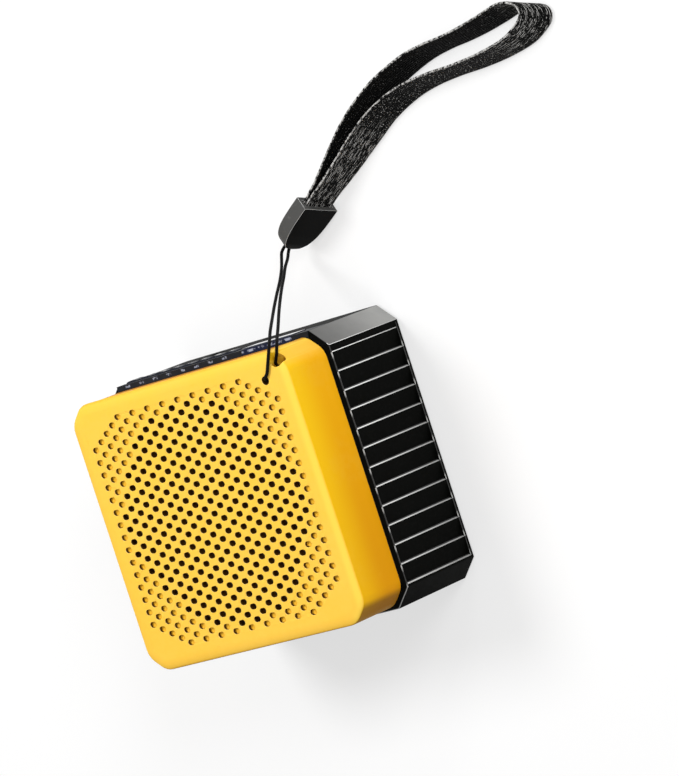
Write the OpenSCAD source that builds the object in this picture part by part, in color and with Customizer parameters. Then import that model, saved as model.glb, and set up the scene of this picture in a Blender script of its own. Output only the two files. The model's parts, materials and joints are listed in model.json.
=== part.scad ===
// Pocket megaphone and loudspeaker, lying on its flat back with the grille facing up.
// +Z runs from the back to the grille, +Y to the control side, origin at the back face's middle.

/* [Case] */
// Width of the rear shell between its louvred sides
body_w = 99; // [95:0.5:106]
// Height of the rear shell from its foot side to its control side
body_h = 97; // [93:0.5:104]
// Depth of the louvred rear shell with its seal
rear_depth = 41.8; // [41:0.2:47]
// Depth of the front shell
front_depth = 22.2; // [22:0.2:28]
// How far the rear shell stands proud of the front shell on each side
proud = 1.3; // [1:0.1:1.6]
// Corner chamfer of the rear shell
corner = 6.4; // [5.6:0.2:8]
// Roundness of the front shell's upright corners
corner_r = 6.4; // [5:0.2:7]
// Height of the rolled edge round the front face
front_fillet = 1.4; // [1:0.1:2]
// Width of the rolled edge round the front face
front_roll = 4; // [3:0.2:4.8]
// Wall of both shells
wall = 2.4; // [2.1:0.1:2.8]
// Thickness of the back wall
back_t = 2.6; // [2:0.2:3.4]
// Small bevel round the back face
back_bevel = 0.8; // [0.4:0.1:1.2]
// Thickness of the seal between the shells
seal_t = 0.6; // [0.4:0.1:1]

/* [Grille] */
// Thickness of the perforated front plate
plate_t = 2.6; // [2:0.2:3.2]
// Width of one oval hole
hole_w = 2.8; // [2.2:0.1:3]
// Height of one oval hole
hole_h = 2.05; // [1.6:0.05:2.2]
// Spacing of the holes along a row
hole_pitch_x = 6.8; // [6.4:0.1:7.2]
// Spacing of the holes down a column
hole_pitch_y = 4.43; // [4.2:0.01:4.6]
// Half columns on each side of the middle
hole_columns = 12; // [8:1:12]
// Half rows above and below the middle
hole_rows = 18; // [12:1:18]
// Half steps kept before the pattern's corners are cut off
hole_corner = 26; // [18:1:28]
// Radius inside which the holes go right through
open_r = 38; // [34:0.5:39]
// Depth of the blind dimples outside that radius
dimple_depth = 1.2; // [0.6:0.1:1.6]

/* [Louvres] */
// Spacing of the slats on the rear shell's sides
slat_pitch = 6.72; // [6:0.02:7]
// Number of slats
slat_count = 12; // [8:1:12]
// How deep each slat slopes in
slat_depth = 1.4; // [0.8:0.1:1.5]
// Height of the bright ledge at the top of each slat
slat_ledge = 0.7; // [0.4:0.1:1.2]
// Plain strip above the first ledge
slat_top = 2.7; // [2:0.1:4]
// Plain border between the slats and the back face
slat_border = 2; // [1.4:0.1:2.8]
// Plain border between the slats and the seam
slat_start = 0.4; // [0.2:0.1:1]

/* [Controls] */
// Number of keys in the row
key_count = 8; // [4:1:8]
// Spacing of the keys
key_pitch = 6.3; // [5.8:0.1:6.3]
// Side of one square key cap
key_w = 4.8; // [4:0.1:5]
// Travel of a key
key_travel = 0.5; // [0.3:0.05:0.6]
// Height of a key cap above the control strip
key_proud = 0.7; // [0.5:0.05:0.8]
// Middle of the row, measured from the back face
key_z = 36; // [35.4:0.1:36.6]
// Middle of the first key from the end of the strip
key_start = 4.9; // [4.2:0.1:5]
// Clearance round a key in its opening
key_clear = 0.2; // [0.15:0.05:0.3]
// Lower edge of the control strip above the back face
strip_z = 28.4; // [26:0.2:28.8]
// Thickness of the control strip
strip_t = 2.4; // [2.2:0.1:2.6]
// Length of the display window
window_w = 22; // [18:0.5:24]
// Height of the display window
window_h = 7.5; // [5:0.1:7.5]
// Bore of the microphone jack
jack_bore = 3.6; // [3.5:0.05:3.8]
// Depth of the microphone jack's bore
jack_depth = 12; // [10:0.5:14]

/* [Speaker] */
// Outer diameter of the speaker's flange
flange_d = 84; // [82:0.5:85]
// Thickness of the flange
flange_t = 1.5; // [1:0.1:2]
// Thickness of the foam ring in front of the flange
foam_t = 3.2; // [2.8:0.1:3.6]
// Thickness of the dust cloth behind the grille
cloth_t = 0.4; // [0.2:0.1:0.6]
// Outer diameter of the cone with its lip
cone_d = 68; // [66:0.5:69]
// Depth of the cone
cone_depth = 12; // [10:0.5:13]
// Outer diameter of the voice coil's tube
coil_d = 26; // [24:0.5:28]
// Diameter of the magnet
magnet_d = 48; // [44:1:52]
// Thickness of the magnet
magnet_t = 8; // [6:0.5:9]
// Travel of the cone each way
cone_travel = 1.2; // [0.8:0.1:1.2]

/* [Power and board] */
// Diameter of the battery cell
cell_d = 18.4; // [18.2:0.1:18.6]
// Length of the battery cell
cell_l = 65; // [64:0.5:66]
// Middle of the cell below the body's axis
cell_drop = 33.2; // [32.6:0.2:34]
// Thickness of the main circuit board
board_t = 1.6; // [1:0.2:2]
// Width of the main circuit board
board_w = 66; // [60:1:68]

/* [Lanyard] */
// Diameter of the lanyard cord
cord_d = 1.1; // [0.9:0.1:1.3]
// Bore of the lanyard tunnel
tunnel_d = 3; // [2.4:0.1:3.4]
// Width of the lanyard scoop at the corner
scoop_d = 5.2; // [4.6:0.2:6]
// Width of the wrist strap's webbing
strap_w = 12; // [10:0.5:12.6]
// Thickness of the webbing
strap_t = 1; // [0.8:0.1:1.2]
// Width of the clasp at its mouth
clasp_w = 15; // [14.4:0.2:16]
// Thickness of the clasp
clasp_t = 5.8; // [5.2:0.2:7]
// Length of the clasp
clasp_l = 19.6; // [18:0.2:22]

/* [Hidden] */

seat_gap = 0.1;                               // clearance of fixed pieces in their seats
overlap = 1;                                  // how far a cut runs past a face
signs = [-1, 1];

body_depth = rear_depth + front_depth;
half_w = body_w / 2;
half_h = body_h / 2;
front_half_w = half_w - proud;
front_half_h = half_h - proud;
front_drop = 0.2;                             // the front shell sits this much nearer the foot side
front_corner = corner - 0.4 * proud;
inner_half_w = half_w - wall;
inner_half_h = half_h - wall;
inner_corner = corner - (2 - sqrt(2)) * wall;
front_inner_w = front_half_w - wall;
front_inner_h = front_half_h - wall;
rim = 0.9;                                    // bevel of the rear shell's rim at the seam
slat_lead = 0.4;
slat_step = 0.5;
plate_back = body_depth - plate_t;
seal_z = rear_depth - seal_t;

// Speaker levels, from the cloth down to the yoke
cloth_z = plate_back - cloth_t;
foam_z = cloth_z - foam_t;
flange_z = foam_z - flange_t;
flange_in = cone_d + 5;
land_w = 1.6;
lip_t = 0.4;
cone_wall = 0.6;
coil_wall = 0.4;
neck_z = foam_z - cone_depth;
spider_z = neck_z - 2;
spider_d = 54;
basket_t = 1.5;
top_plate_t = 2;
top_plate_z = spider_z - 8;
magnet_z = top_plate_z - magnet_t;
yoke_t = 3;
yoke_z = magnet_z - yoke_t;
pole_gap = 0.5;
ear_r = 45.5;
ear_d = 8.4;
screw_d = 2.6;
screw_head_d = 4.6;
screw_head_h = 1.6;
ear_at = ear_r / sqrt(2);
basket_window = 14;

// Main board and its sockets
board_z = 7;
board_y0 = -19;
board_y1 = inner_half_h - 0.4;
board_top = board_z + board_t;
post_d = 6;
board_screw_x = board_w / 2 - 4;
board_screw_ys = [board_y0 + 4, board_y1 - 12];
jack_x = -20;
jack_size = 8;
jack_nose_d = 6;
jack_z = board_top + jack_size / 2;
usb_x = 4;
usb_w = 8.9;
usb_h = 3.2;
usb_l = 7.3;
usb_z = board_top + usb_h / 2;
chip = [12, 12, 1.4];
memory = [9, 7, 1.6];
choke = [7, 7, 3];
driver = [8, 5, 1.2];
plug = [10, 6, 5];
cans = [[-24, -10, 8, 9], [24, 4, 6.3, 7]];

// Control strip: flush with the rear shell's top side, running from chamfer to chamfer
strip_end_gap = 0.2;
strip_w = 2 * (half_w - corner - strip_end_gap);
strip_back = inner_half_h;
strip_y = strip_back + strip_t;
strip_h = seal_z - strip_z;
strip_rail = 1.2;
strip_rail_t = 1;
strip_rail_in = 1.5;
key_x0 = key_start - strip_w / 2;
key_lip = 0.4;
lip_clear = 0.25;
key_lip_t = 0.65;
key_rest_gap = 0.05;
key_stem_d = 2.2;
key_stem_l = 1;
key_crown_r = 9;
dome_t = 0.5;
dome_d = 4;
dome_gap = 0.1;
dome_y = strip_back - key_rest_gap - key_lip_t - key_stem_l - key_travel - dome_gap;
key_board_t = 1;
key_board_y = dome_y - dome_t - key_board_t;
key_board_w = strip_w - 1;
key_board_gap = 2.2;
key_board_top = 0.6;
key_board_z = strip_z + key_board_gap;
key_board_h = strip_h - key_board_gap - key_board_top;
strip_post_end = 3;
strip_post_in = 13;
strip_posts = [-strip_w / 2 + strip_post_end, -strip_post_in, strip_post_in, strip_w / 2 - strip_post_end];
strip_post_d = 2.2;
strip_post_z = key_board_z + strip_post_d / 2 + 0.1;
window_proud = 0.35;
mic_d = 3.6;
mic_hole = 1.4;
mic_x = key_x0 + (key_count - 1) * key_pitch + key_w / 2 + key_lip + lip_clear + 0.3 + mic_d / 2;
window_gap = 0.95;
window_x = mic_x + mic_d / 2 + window_gap + window_w / 2;
// Shallow rebate in the front shell's top side, above the strip
band_deep = 0.45;
band_end = 40.5;

// Screws that close the case from behind
case_boss_d = 8.4;
case_boss_gap = 0.9;
case_screw_x = half_w - 10.5;
case_screw_y = key_board_y - case_boss_gap - case_boss_d / 2;
case_well_d = 6.2;
case_screw_d = 3;
case_screw_hole = 3.4;
case_head_z = 24;
case_web = 3;
case_screw_l = 24;
head_d = 5.6;
head_h = 2;

// Battery
cradle_wall = 1.2;
cradle_h = 11;
cell_tip = 1;
cell_z = back_t + cradle_wall + cell_d / 2;

// Rest pads under the front shell
pad_l = 56;
pad_w = 6;
pad_z = rear_depth + 4;

// Lanyard: hole in the front face, scoop at the corner and a tunnel between them
hole_a = [38.2, 37.8];
hole_b = [43.2, 40.6];
tunnel_z = body_depth - 6.5;
tunnel_step = 0.4;
scoop_z = body_depth - 3.8;
scoop_tilt = [-47, 33, 0];
lump_wall = 1;
lump_in = [hole_a[0] - tunnel_d / 2 - lump_wall, hole_a[1] - tunnel_d / 2 - lump_wall];
lump_z = tunnel_z - 4;

// Clasp, standing on the edge of its mouth
clasp_tail = [21.7, 76.5, 9.2];
clasp_turn = [33, 73, -3];
clasp_bluff = 3.6;
clasp_pocket = [8, 6.4, 1.8];
clasp_throat = 4;
clasp_slot_l = 6;

// Route of the cord from the tunnel's middle out of the front hole and over the edge
cord_out = [
    [40.6, 39.15, 57.5], [39.2, 38.4, 57.5], [38.4, 37.95, 58.6], [38.2, 37.8, 61], [38.3, 37.9, 63.4],
    [39, 38.7, 64.62], [40.3, 39.9, 64.68], [41.6, 42.2, 64.7], [42.9, 44.7, 64.7], [43.7, 46.5, 64.5],
    [43.7, 48.3, 63.3], [42.4, 50.3, 60.3], [39.7, 52.7, 55.2], [35.4, 55.8, 47], [31.8, 59.2, 39.4],
    [28.4, 62.8, 31.6], [25, 66.4, 23.6], [22, 69.8, 17], [20.1, 72.6, 13], [19.6, 74.9, 11.1]
];
// The turn inside the clasp, measured from its tail
cord_turn = [
    [-1, 1.3, 0], [1, 1.4, 0], [3, 2, 0], [5, 2.3, 0], [6.7, 1.5, 0], [7.2, 0, 0],
    [6.7, -1.5, 0], [5, -2.3, 0], [3, -2, 0], [1, -1.4, 0], [-1, -1.3, 0]
];
// From the clasp over the edge into the scoop and back to the tunnel's middle
cord_back = [
    [20.6, 74.2, 8.9], [21.6, 72.4, 11.6], [23.4, 70.2, 16.4], [26.3, 67.2, 22.6], [29.8, 63.9, 30.1],
    [33.5, 60.5, 37.6], [37.2, 57.1, 44.8], [41.4, 53.1, 52.8], [44.8, 50.2, 59.2], [46.1, 48.4, 62],
    [46.1, 46.9, 62.9], [45.2, 45.4, 62.6], [43.7, 43.8, 61.8], [42.4, 42.3, 61.2], [42.1, 41.3, 60.3],
    [42.5, 40.6, 59.3], [42.6, 40.4, 58.4], [42.2, 40.1, 57.7], [41.4, 39.6, 57.5], [40.9, 39.3, 57.5]
];
cord_steps = 2;
cord_sides = 8;

// Route of the strap's lower edge, from the clasp's mouth round the loop and back to the mouth
strap_lean = [-0.5, 0.3, 0.81];
strap_settle = 24;
strap_layer = 0.65;
strap_ends = [-5, -2.5, 0.5];
strap_edge = [
    [44, 88.1, 1.6], [49.4, 91.2, 0.9], [55, 94.4, 0.5],
    [60.8, 97.8, 0.4], [67.5, 101.7, 0.4], [75.6, 106.3, 0.4], [85.6, 110.1, 0.4], [95, 112.1, 0.4],
    [105.5, 112.9, 0.4], [116, 113, 0.4], [126.7, 113.7, 0.4], [136.8, 115.4, 0.4],
    [142.8, 117.9, 0.4], [146.6, 120.8, 0.4], [147.2, 124, 0.4], [144.4, 126.2, 0.4],
    [138.8, 126.8, 0.4], [129.8, 125, 0.4], [121.4, 123.6, 0.4], [113.9, 122.8, 0.4],
    [106.2, 122.3, 0.4], [98.2, 121.2, 0.4], [90.1, 119, 0.4], [81.8, 116, 0.4], [75.4, 112.8, 0.4],
    [69, 109, 0.4], [62, 104, 0.4], [55.4, 99.2, 0.5], [49, 94.2, 0.9], [43.4, 89.8, 1.6]
];
strap_steps = 2;

// ---------- shared shapes ----------

// Rectangle with its four corners cut off
module cut_block(w, h, c) {
    x = w / 2;
    y = h / 2;
    polygon([[x, y - c], [x - c, y], [c - x, y], [-x, y - c], [-x, c - y], [c - x, -y], [x - c, -y], [x, c - y]]);
}

// Middles of the eight rounds of a cut rectangle, from the right-hand side round
function rounds(w, h, c, r) = let (inset = r * (sqrt(2) - 1)) [for (k = [0:7]) let (side = k % 4 == 0 || k % 4 == 3)
    [(k < 2 || k > 5 ? 1 : -1) * (w / 2 - (side ? r : c + inset)),
        (k < 4 ? 1 : -1) * (h / 2 - (side ? c + inset : r))]];

// Outline of a cut rectangle with its eight corners rounded
function round_block(w, h, c, r) = let (mids = rounds(w, h, c, r))
    [for (k = [0:7], a = [0:9:45]) mids[k] + r * [cos(45 * k + a), sin(45 * k + a)]];

// Round post whose upper edge rolls over
module rolled_post(r, roll, drop, h) {
    rotate_extrude($fn = 32) polygon(concat([[0, 0], [r, 0]],
        [for (a = [0:10:90]) [r - roll * (1 - cos(a)), h - drop * (1 - sin(a))]], [[0, h]]));
}

// Block with cut, rounded corners and a rolled edge round its top face
module soft_block(w, h, c, r, roll, drop, depth) {
    hull() for (q = rounds(w, h, c, r)) translate([q[0], q[1], 0]) rolled_post(r, roll, drop, depth);
}

// Ring lying flat at height z
module ring(r_out, r_in, z, h) {
    translate([0, 0, z]) difference() {
        cylinder(h = h, r = r_out, $fn = 96);
        translate([0, 0, -overlap]) cylinder(h = h + 2 * overlap, r = r_in, $fn = 96);
    }
}

// Cylinder along +Y from y0 to y1
module rod_y(x, y0, y1, z, d) {
    translate([x, y0, z]) rotate([-90, 0, 0]) cylinder(h = y1 - y0, d = d, $fn = 32);
}

module at_four(x, y) {
    for (sx = signs, sy = signs) translate([sx * x, sy * y, 0]) children();
}

// ---------- front shell ----------

module oval_hole(h) {
    reach = (hole_w - hole_h) / 2;
    for (s = signs) translate([s * reach, 0, 0]) cylinder(h = h, d = hole_h, $fn = 16);
    translate([-reach, -hole_h / 2, 0]) cube([2 * reach, hole_h, h]);
}

// Staggered oval holes: open in front of the cone, blind dimples in the rings round it
module grille_holes() {
    for (i = [-hole_columns:hole_columns], j = [-hole_rows:hole_rows]) {
        at = [i * hole_pitch_x / 2, j * hole_pitch_y / 2];
        if ((i + j) % 2 == 0 && abs(i) + abs(j) <= hole_corner)
            translate([at[0], at[1], norm(at) < open_r ? plate_back - overlap : body_depth - dimple_depth])
                oval_hole(plate_t + 2 * overlap);
    }
}

// Bore with a ball-shaped end at the origin
module ball_bore(d, h) {
    rotate_extrude($fn = 48) {
        square([d / 2, h]);
        intersection() {
            circle(d / 2, $fn = 48);
            translate([0, -d]) square([d, d]);
        }
    }
}

// Hole through the face and a well under the scoop, joined by a narrower tunnel
module lanyard_cuts() {
    run = hole_b - hole_a;
    foot = tunnel_z - tunnel_d / 2;
    translate([hole_a[0], hole_a[1], foot]) cylinder(h = body_depth, d = tunnel_d, $fn = 32);
    translate([hole_b[0], hole_b[1], foot]) cylinder(h = scoop_z - foot, d = tunnel_d, $fn = 32);
    translate([hole_a[0], hole_a[1], tunnel_z]) rotate([0, 0, atan2(run[1], run[0])]) rotate([0, 90, 0])
        cylinder(h = norm(run), d = tunnel_d - tunnel_step, $fn = 32);
    translate([hole_b[0], hole_b[1], scoop_z]) rotate(scoop_tilt) ball_bore(scoop_d, 3 * scoop_d);
}

module front_housing() {
    color([0.99, 0.79, 0.24]) difference() {
        union() {
            difference() {
                translate([0, -front_drop, rear_depth]) soft_block(2 * front_half_w, 2 * front_half_h,
                    front_corner, corner_r, front_roll, front_fillet, front_depth);
                translate([0, -front_drop, rear_depth - overlap])
                    linear_extrude(plate_back - rear_depth + overlap)
                        cut_block(2 * front_inner_w, 2 * front_inner_h, front_corner - wall / 2);
            }
        // lump that carries the lanyard tunnel
            intersection() {
                translate([lump_in[0], lump_in[1], lump_z])
                    cube([half_w - lump_in[0], half_h - lump_in[1], plate_back - lump_z + overlap]);
                translate([0, -front_drop, lump_z - overlap]) linear_extrude(body_depth)
                    cut_block(2 * front_half_w - wall, 2 * front_half_h - wall, front_corner);
            }
            // speaker bosses behind the plate
            at_four(ear_at, ear_at)
                translate([0, 0, foam_z]) cylinder(h = plate_back - foam_z + overlap, d = 7, $fn = 32);
            // bosses that take the case screws
            at_four(case_screw_x, case_screw_y)
                translate([0, 0, rear_depth]) cylinder(h = lump_z - rear_depth + overlap,
                    d = case_boss_d - 1.4, $fn = 32);
            for (x = signs, y = signs) translate([x * case_screw_x, y * case_screw_y - 0.8, rear_depth])
                mirror([x < 0 ? 1 : 0, 0, 0])
                    cube([front_inner_w - case_screw_x + overlap, 1.6, lump_z - rear_depth]);
        }
        grille_holes();
        lanyard_cuts();
        // rebate along the strip
        translate([-strip_w / 2 - 0.3, front_half_h - front_drop - band_deep, rear_depth - overlap])
            cube([band_end + strip_w / 2 + 0.3, band_deep + overlap, front_depth - front_fillet - 0.6 + overlap]);
        at_four(ear_at, ear_at) translate([0, 0, foam_z - overlap])
            cylinder(h = overlap + plate_back - foam_z - 0.6, d = screw_d - 0.5, $fn = 24);
        at_four(case_screw_x, case_screw_y) translate([0, 0, rear_depth - overlap])
            cylinder(h = lump_z - rear_depth, d = case_screw_d - 0.5, $fn = 24);
    }
}

module rest_pads() {
    color([0.08, 0.08, 0.08]) for (x = signs)
        translate([x * pad_l / 4 - pad_l / 4 + 1, -half_h, pad_z]) cube([pad_l / 2 - 2, proud - front_drop, pad_w]);
}

module seam_seal() {
    color([0.05, 0.05, 0.05]) translate([0, -front_drop, seal_z]) linear_extrude(seal_t) difference() {
        polygon(round_block(2 * front_half_w - 0.5, 2 * front_half_h - 0.5, front_corner, corner_r));
        cut_block(2 * front_inner_w, 2 * front_inner_h, front_corner - wall / 2);
    }
}

// ---------- speaker ----------

module dust_cloth() {
    color([0.03, 0.03, 0.03]) translate([0, 0, cloth_z]) cylinder(h = cloth_t, r = open_r + 2.5, $fn = 96);
}

module foam_ring() {
    color([0.1, 0.1, 0.1]) ring(flange_d / 2 - 0.4, flange_in / 2 + land_w + 1.2, foam_z, foam_t);
}

// Pressed steel frame: flange, windowed side, ledge for the spider and a foot on the magnet
module speaker_basket() {
    foot_r = magnet_d / 2 + 0.5;
    foot_z = top_plate_z + top_plate_t;
    ledge_in = spider_d / 2 - 3;
    ledge_out = spider_d / 2 + 1;
    color([0.3, 0.3, 0.32]) difference() {
        union() {
            rotate_extrude($fn = 96) polygon([
                [flange_d / 2, flange_z], [flange_d / 2, flange_z + flange_t],
                [flange_in / 2, flange_z + flange_t], [flange_in / 2, flange_z],
                [ledge_out, spider_z], [ledge_in, spider_z], [ledge_in, spider_z - basket_t],
                [foot_r - basket_t, spider_z - basket_t - 1], [foot_r - basket_t, foot_z + basket_t],
                [coil_d / 2 + 2, foot_z + basket_t], [coil_d / 2 + 2, foot_z], [foot_r, foot_z],
                [ledge_out, spider_z - basket_t], [flange_in / 2 + basket_t, flange_z]]);
            at_four(ear_at, ear_at) translate([0, 0, flange_z]) cylinder(h = flange_t, d = ear_d, $fn = 32);
        }
        for (a = [0:60:300]) rotate([0, 0, a])
            translate([ledge_out - 0.5, -basket_window / 2, spider_z + 1.2])
                cube([flange_d / 2 - ledge_out, basket_window, flange_z - spider_z - 2.6]);
        at_four(ear_at, ear_at) translate([0, 0, flange_z - overlap])
            cylinder(h = flange_t + 2 * overlap, d = screw_d + 0.4, $fn = 24);
    }
}

module speaker_screws() {
    color([0.6, 0.6, 0.62]) at_four(ear_at, ear_at) {
        translate([0, 0, flange_z]) mirror([0, 0, 1]) cylinder(h = screw_head_h, d = screw_head_d, $fn = 32);
        translate([0, 0, flange_z]) cylinder(h = flange_t + 2, d = screw_d - 0.6, $fn = 24);
    }
}

// Half-round rubber roll between the cone and the flange
module speaker_surround() {
    lip_r = cone_d / 2;
    roll_r = (flange_in / 2 + 0.8 - lip_r) / 2;
    roll_at = lip_r + roll_r - 0.2;
    color([0.07, 0.07, 0.07]) rotate_extrude($fn = 96) {
        difference() {
            translate([roll_at, foam_z]) circle(roll_r, $fn = 32);
            translate([roll_at, foam_z]) circle(roll_r - lip_t, $fn = 32);
            translate([0, foam_z - 2 * roll_r]) square([roll_at + 2 * roll_r, 2 * roll_r]);
        }
        translate([lip_r - land_w, foam_z]) square([land_w, lip_t]);
        translate([roll_at + roll_r - 0.3, foam_z]) square([land_w, lip_t]);
    }
}

// Corrugated disc that centres the coil
module speaker_spider() {
    r0 = coil_d / 2 + 0.05;
    r1 = spider_d / 2;
    flat = 3.4;
    n = 36;
    wave = [[r0, 0], for (i = [0:n]) [r0 + 1 + (r1 - flat - r0 - 1) * i / n, 0.5 * sin(360 * 3 * i / n)], [r1, 0]];
    m = len(wave) - 1;
    color([0.75, 0.62, 0.3]) translate([0, 0, spider_z]) rotate_extrude($fn = 96)
        polygon(concat([for (p = wave) [p[0], p[1] + 0.4]], [for (i = [m:-1:0]) wave[i]]));
}

module speaker_cone() {
    neck = coil_d / 2 + 0.05;
    lip = cone_d / 2;
    color([0.1, 0.1, 0.11]) rotate_extrude($fn = 96)
        polygon([[neck, neck_z], [neck + 0.9, neck_z], [lip - 1.6, foam_z - lip_t - 0.1],
            [lip, foam_z - lip_t], [lip, foam_z], [lip - 2, foam_z], [neck, neck_z + cone_wall]]);
}

// Shallow dome glued over the middle of the cone
module dust_cap() {
    cap_r = coil_d / 2 + 2.5;
    rise = (cone_depth - cone_wall) / (cone_d / 2 - 2 - coil_d / 2);
    foot_z = neck_z + cone_wall + rise * (cap_r - coil_d / 2) + 0.2;
    dome_r = 22;
    spread = asin(cap_r / dome_r);
    sink = foot_z - dome_r * cos(spread);
    arc = [for (i = [0:12]) spread * i / 12];
    color([0.12, 0.12, 0.13]) rotate_extrude($fn = 96) polygon(concat(
        [for (a = arc) [dome_r * sin(a), sink + dome_r * cos(a)]],
        [for (i = [12:-1:0]) [(dome_r - 0.5) * sin(arc[i]), sink + (dome_r - 0.5) * cos(arc[i])]]));
}

module voice_coil() {
    color([0.72, 0.45, 0.2]) {
        ring(coil_d / 2, coil_d / 2 - coil_wall, top_plate_z - 2, neck_z + cone_wall + 0.4 - top_plate_z + 2);
        ring(coil_d / 2 + 0.2, coil_d / 2 - 0.1, top_plate_z - 1.6, 4.4);
    }
}

module speaker_top_plate() {
    color([0.55, 0.56, 0.58]) ring(magnet_d / 2 - 1.5, coil_d / 2 + 0.2 + pole_gap, top_plate_z, top_plate_t);
}

module speaker_magnet() {
    color([0.18, 0.18, 0.19]) ring(magnet_d / 2, coil_d / 2 + 2, magnet_z, magnet_t);
}

module speaker_yoke() {
    color([0.55, 0.56, 0.58]) {
        translate([0, 0, yoke_z]) cylinder(h = yoke_t, r = magnet_d / 2 - 1.5, $fn = 96);
        translate([0, 0, yoke_z]) cylinder(h = top_plate_z + top_plate_t - yoke_z,
            r = coil_d / 2 - coil_wall - pole_gap, $fn = 96);
    }
}

// ---------- rear shell ----------

// Saw-tooth cut down one side: each slat slopes in and ends at a ledge that faces up
module louvre_cut() {
    top = half_h - corner;
    first = top - slat_top;
    count = min(slat_count, floor((first + top) / slat_pitch));
    last = first - count * slat_pitch;
    lead = [[half_w + overlap, top - slat_lead], [half_w, top - slat_lead],
        [half_w - slat_step, first + slat_ledge * slat_step / slat_depth]];
    teeth = [for (k = [0:count - 1]) each [
        [half_w, first - k * slat_pitch],
        [half_w - slat_depth, first - (k + 1) * slat_pitch + slat_ledge]]];
    translate([0, 0, slat_border]) linear_extrude(seal_z - rim - slat_start - slat_border)
        polygon(concat(lead, teeth, [[half_w, last], [half_w + overlap, last]]));
}

module rear_outside() {
    hull() {
        translate([0, 0, back_bevel]) linear_extrude(seal_z - rim - back_bevel) cut_block(body_w, body_h, corner);
        translate([0, -front_drop, seal_z - rim]) linear_extrude(rim)
            polygon(round_block(2 * front_half_w, 2 * front_half_h, front_corner, corner_r));
        linear_extrude(back_bevel)
            cut_block(body_w - 2 * back_bevel, body_h - 2 * back_bevel, corner - 0.4 * back_bevel);
    }
}

module rear_housing() {
    color([0.06, 0.06, 0.065]) difference() {
        union() {
            difference() {
                rear_outside();
                translate([0, 0, back_t]) linear_extrude(body_depth)
                    cut_block(2 * inner_half_w, 2 * inner_half_h, inner_corner);
            }
            at_four(case_screw_x, case_screw_y) cylinder(h = seal_z, d = case_boss_d, $fn = 32);
            for (x = signs, y = signs) translate([x * case_screw_x, y * case_screw_y - 0.8, 1])
                mirror([x < 0 ? 1 : 0, 0, 0]) cube([inner_half_w - case_screw_x + 1, 1.6, seal_z - 3]);
            for (x = signs, y = board_screw_ys) translate([x * board_screw_x, y, back_t - overlap])
                cylinder(h = board_z - back_t + overlap, d = post_d, $fn = 32);
        }
        louvre_cut();
        mirror([1, 0, 0]) louvre_cut();
        // window for the control strip, and its seat from inside
        translate([-strip_w / 2 - seat_gap, inner_half_h - overlap, strip_z - seat_gap])
            cube([strip_w + 2 * seat_gap, wall + 2 * overlap, body_depth]);
        // wells, bores and socket openings
        at_four(case_screw_x, case_screw_y) {
            translate([0, 0, -overlap]) cylinder(h = case_head_z + overlap, d = case_well_d, $fn = 32);
            cylinder(h = body_depth, d = case_screw_hole, $fn = 32);
        }
        for (x = signs, y = board_screw_ys) translate([x * board_screw_x, y, back_t - 1])
            cylinder(h = board_z, d = 2, $fn = 24);
        rod_y(jack_x, inner_half_h - overlap, half_h + overlap, jack_z, jack_nose_d + 2 * seat_gap);
        translate([usb_x, inner_half_h - overlap, usb_z])
            usb_profile(usb_w + 0.8, usb_h + 0.8, wall + 2 * overlap);
    }
}

// Flat-sided oval along +Y
module usb_profile(w, h, l) {
    for (s = signs) translate([s * (w - h) / 2, 0, 0]) rotate([-90, 0, 0]) cylinder(h = l, d = h, $fn = 32);
    translate([-(w - h) / 2, 0, -h / 2]) cube([w - h, l, h]);
}

module housing_screws() {
    color([0.5, 0.5, 0.52]) at_four(case_screw_x, case_screw_y) difference() {
        union() {
            translate([0, 0, case_head_z - head_h]) cylinder(h = head_h, d = head_d, $fn = 32);
            translate([0, 0, case_head_z]) cylinder(h = case_screw_l, d = case_screw_d - 0.6, $fn = 24);
        }
        for (a = [0, 90]) rotate([0, 0, a])
            translate([-1.5, -0.35, case_head_z - head_h - overlap]) cube([3, 0.7, overlap + 1]);
    }
}

// ---------- controls ----------

function key_x(k) = key_x0 + k * key_pitch;

module control_strip() {
    opening = key_w + 2 * key_clear;
    color([0.09, 0.1, 0.13]) difference() {
        union() {
            translate([-strip_w / 2, strip_back, strip_z]) cube([strip_w, strip_t, strip_h]);
            // rail that hooks behind the rear shell's wall
            translate([strip_rail_in - strip_w / 2, strip_back - strip_rail_t, strip_z - strip_rail])
                cube([strip_w - 2 * strip_rail_in, strip_rail_t, 2 * strip_rail]);
            for (x = strip_posts)
                rod_y(x, key_board_y + key_board_t, strip_back, strip_post_z, strip_post_d);
        }
        for (k = [0:key_count - 1])
            translate([key_x(k) - opening / 2, strip_back - overlap, key_z - opening / 2])
                cube([opening, strip_t + 2 * overlap, opening]);
        translate([window_x - window_w / 2 - seat_gap, strip_back - overlap, key_z - window_h / 2 - seat_gap])
            cube([window_w + 2 * seat_gap, strip_t + 2 * overlap, window_h + 2 * seat_gap]);
        rod_y(mic_x, strip_back - overlap, strip_y + overlap, key_z, mic_hole);
    }
}

module key_cap(k) {
    cap_top = strip_y + key_proud;
    lip_w = key_w + 2 * key_lip;
    lip_y = strip_back - key_rest_gap - key_lip_t;
    color([0.16, 0.17, 0.2]) {
        intersection() {
            translate([key_x(k) - key_w / 2, lip_y, key_z - key_w / 2])
                cube([key_w, cap_top - lip_y, key_w]);
            translate([key_x(k), cap_top - key_crown_r, 0]) cylinder(h = body_depth, r = key_crown_r, $fn = 96);
        }
        translate([key_x(k) - lip_w / 2, lip_y, key_z - lip_w / 2]) cube([lip_w, key_lip_t, lip_w]);
        rod_y(key_x(k), lip_y - key_stem_l, lip_y, key_z, key_stem_d);
    }
}

module display_window() {
    color([0.04, 0.06, 0.12]) translate([window_x - window_w / 2, strip_back, key_z - window_h / 2])
        cube([window_w, strip_t + window_proud, window_h]);
}

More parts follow.
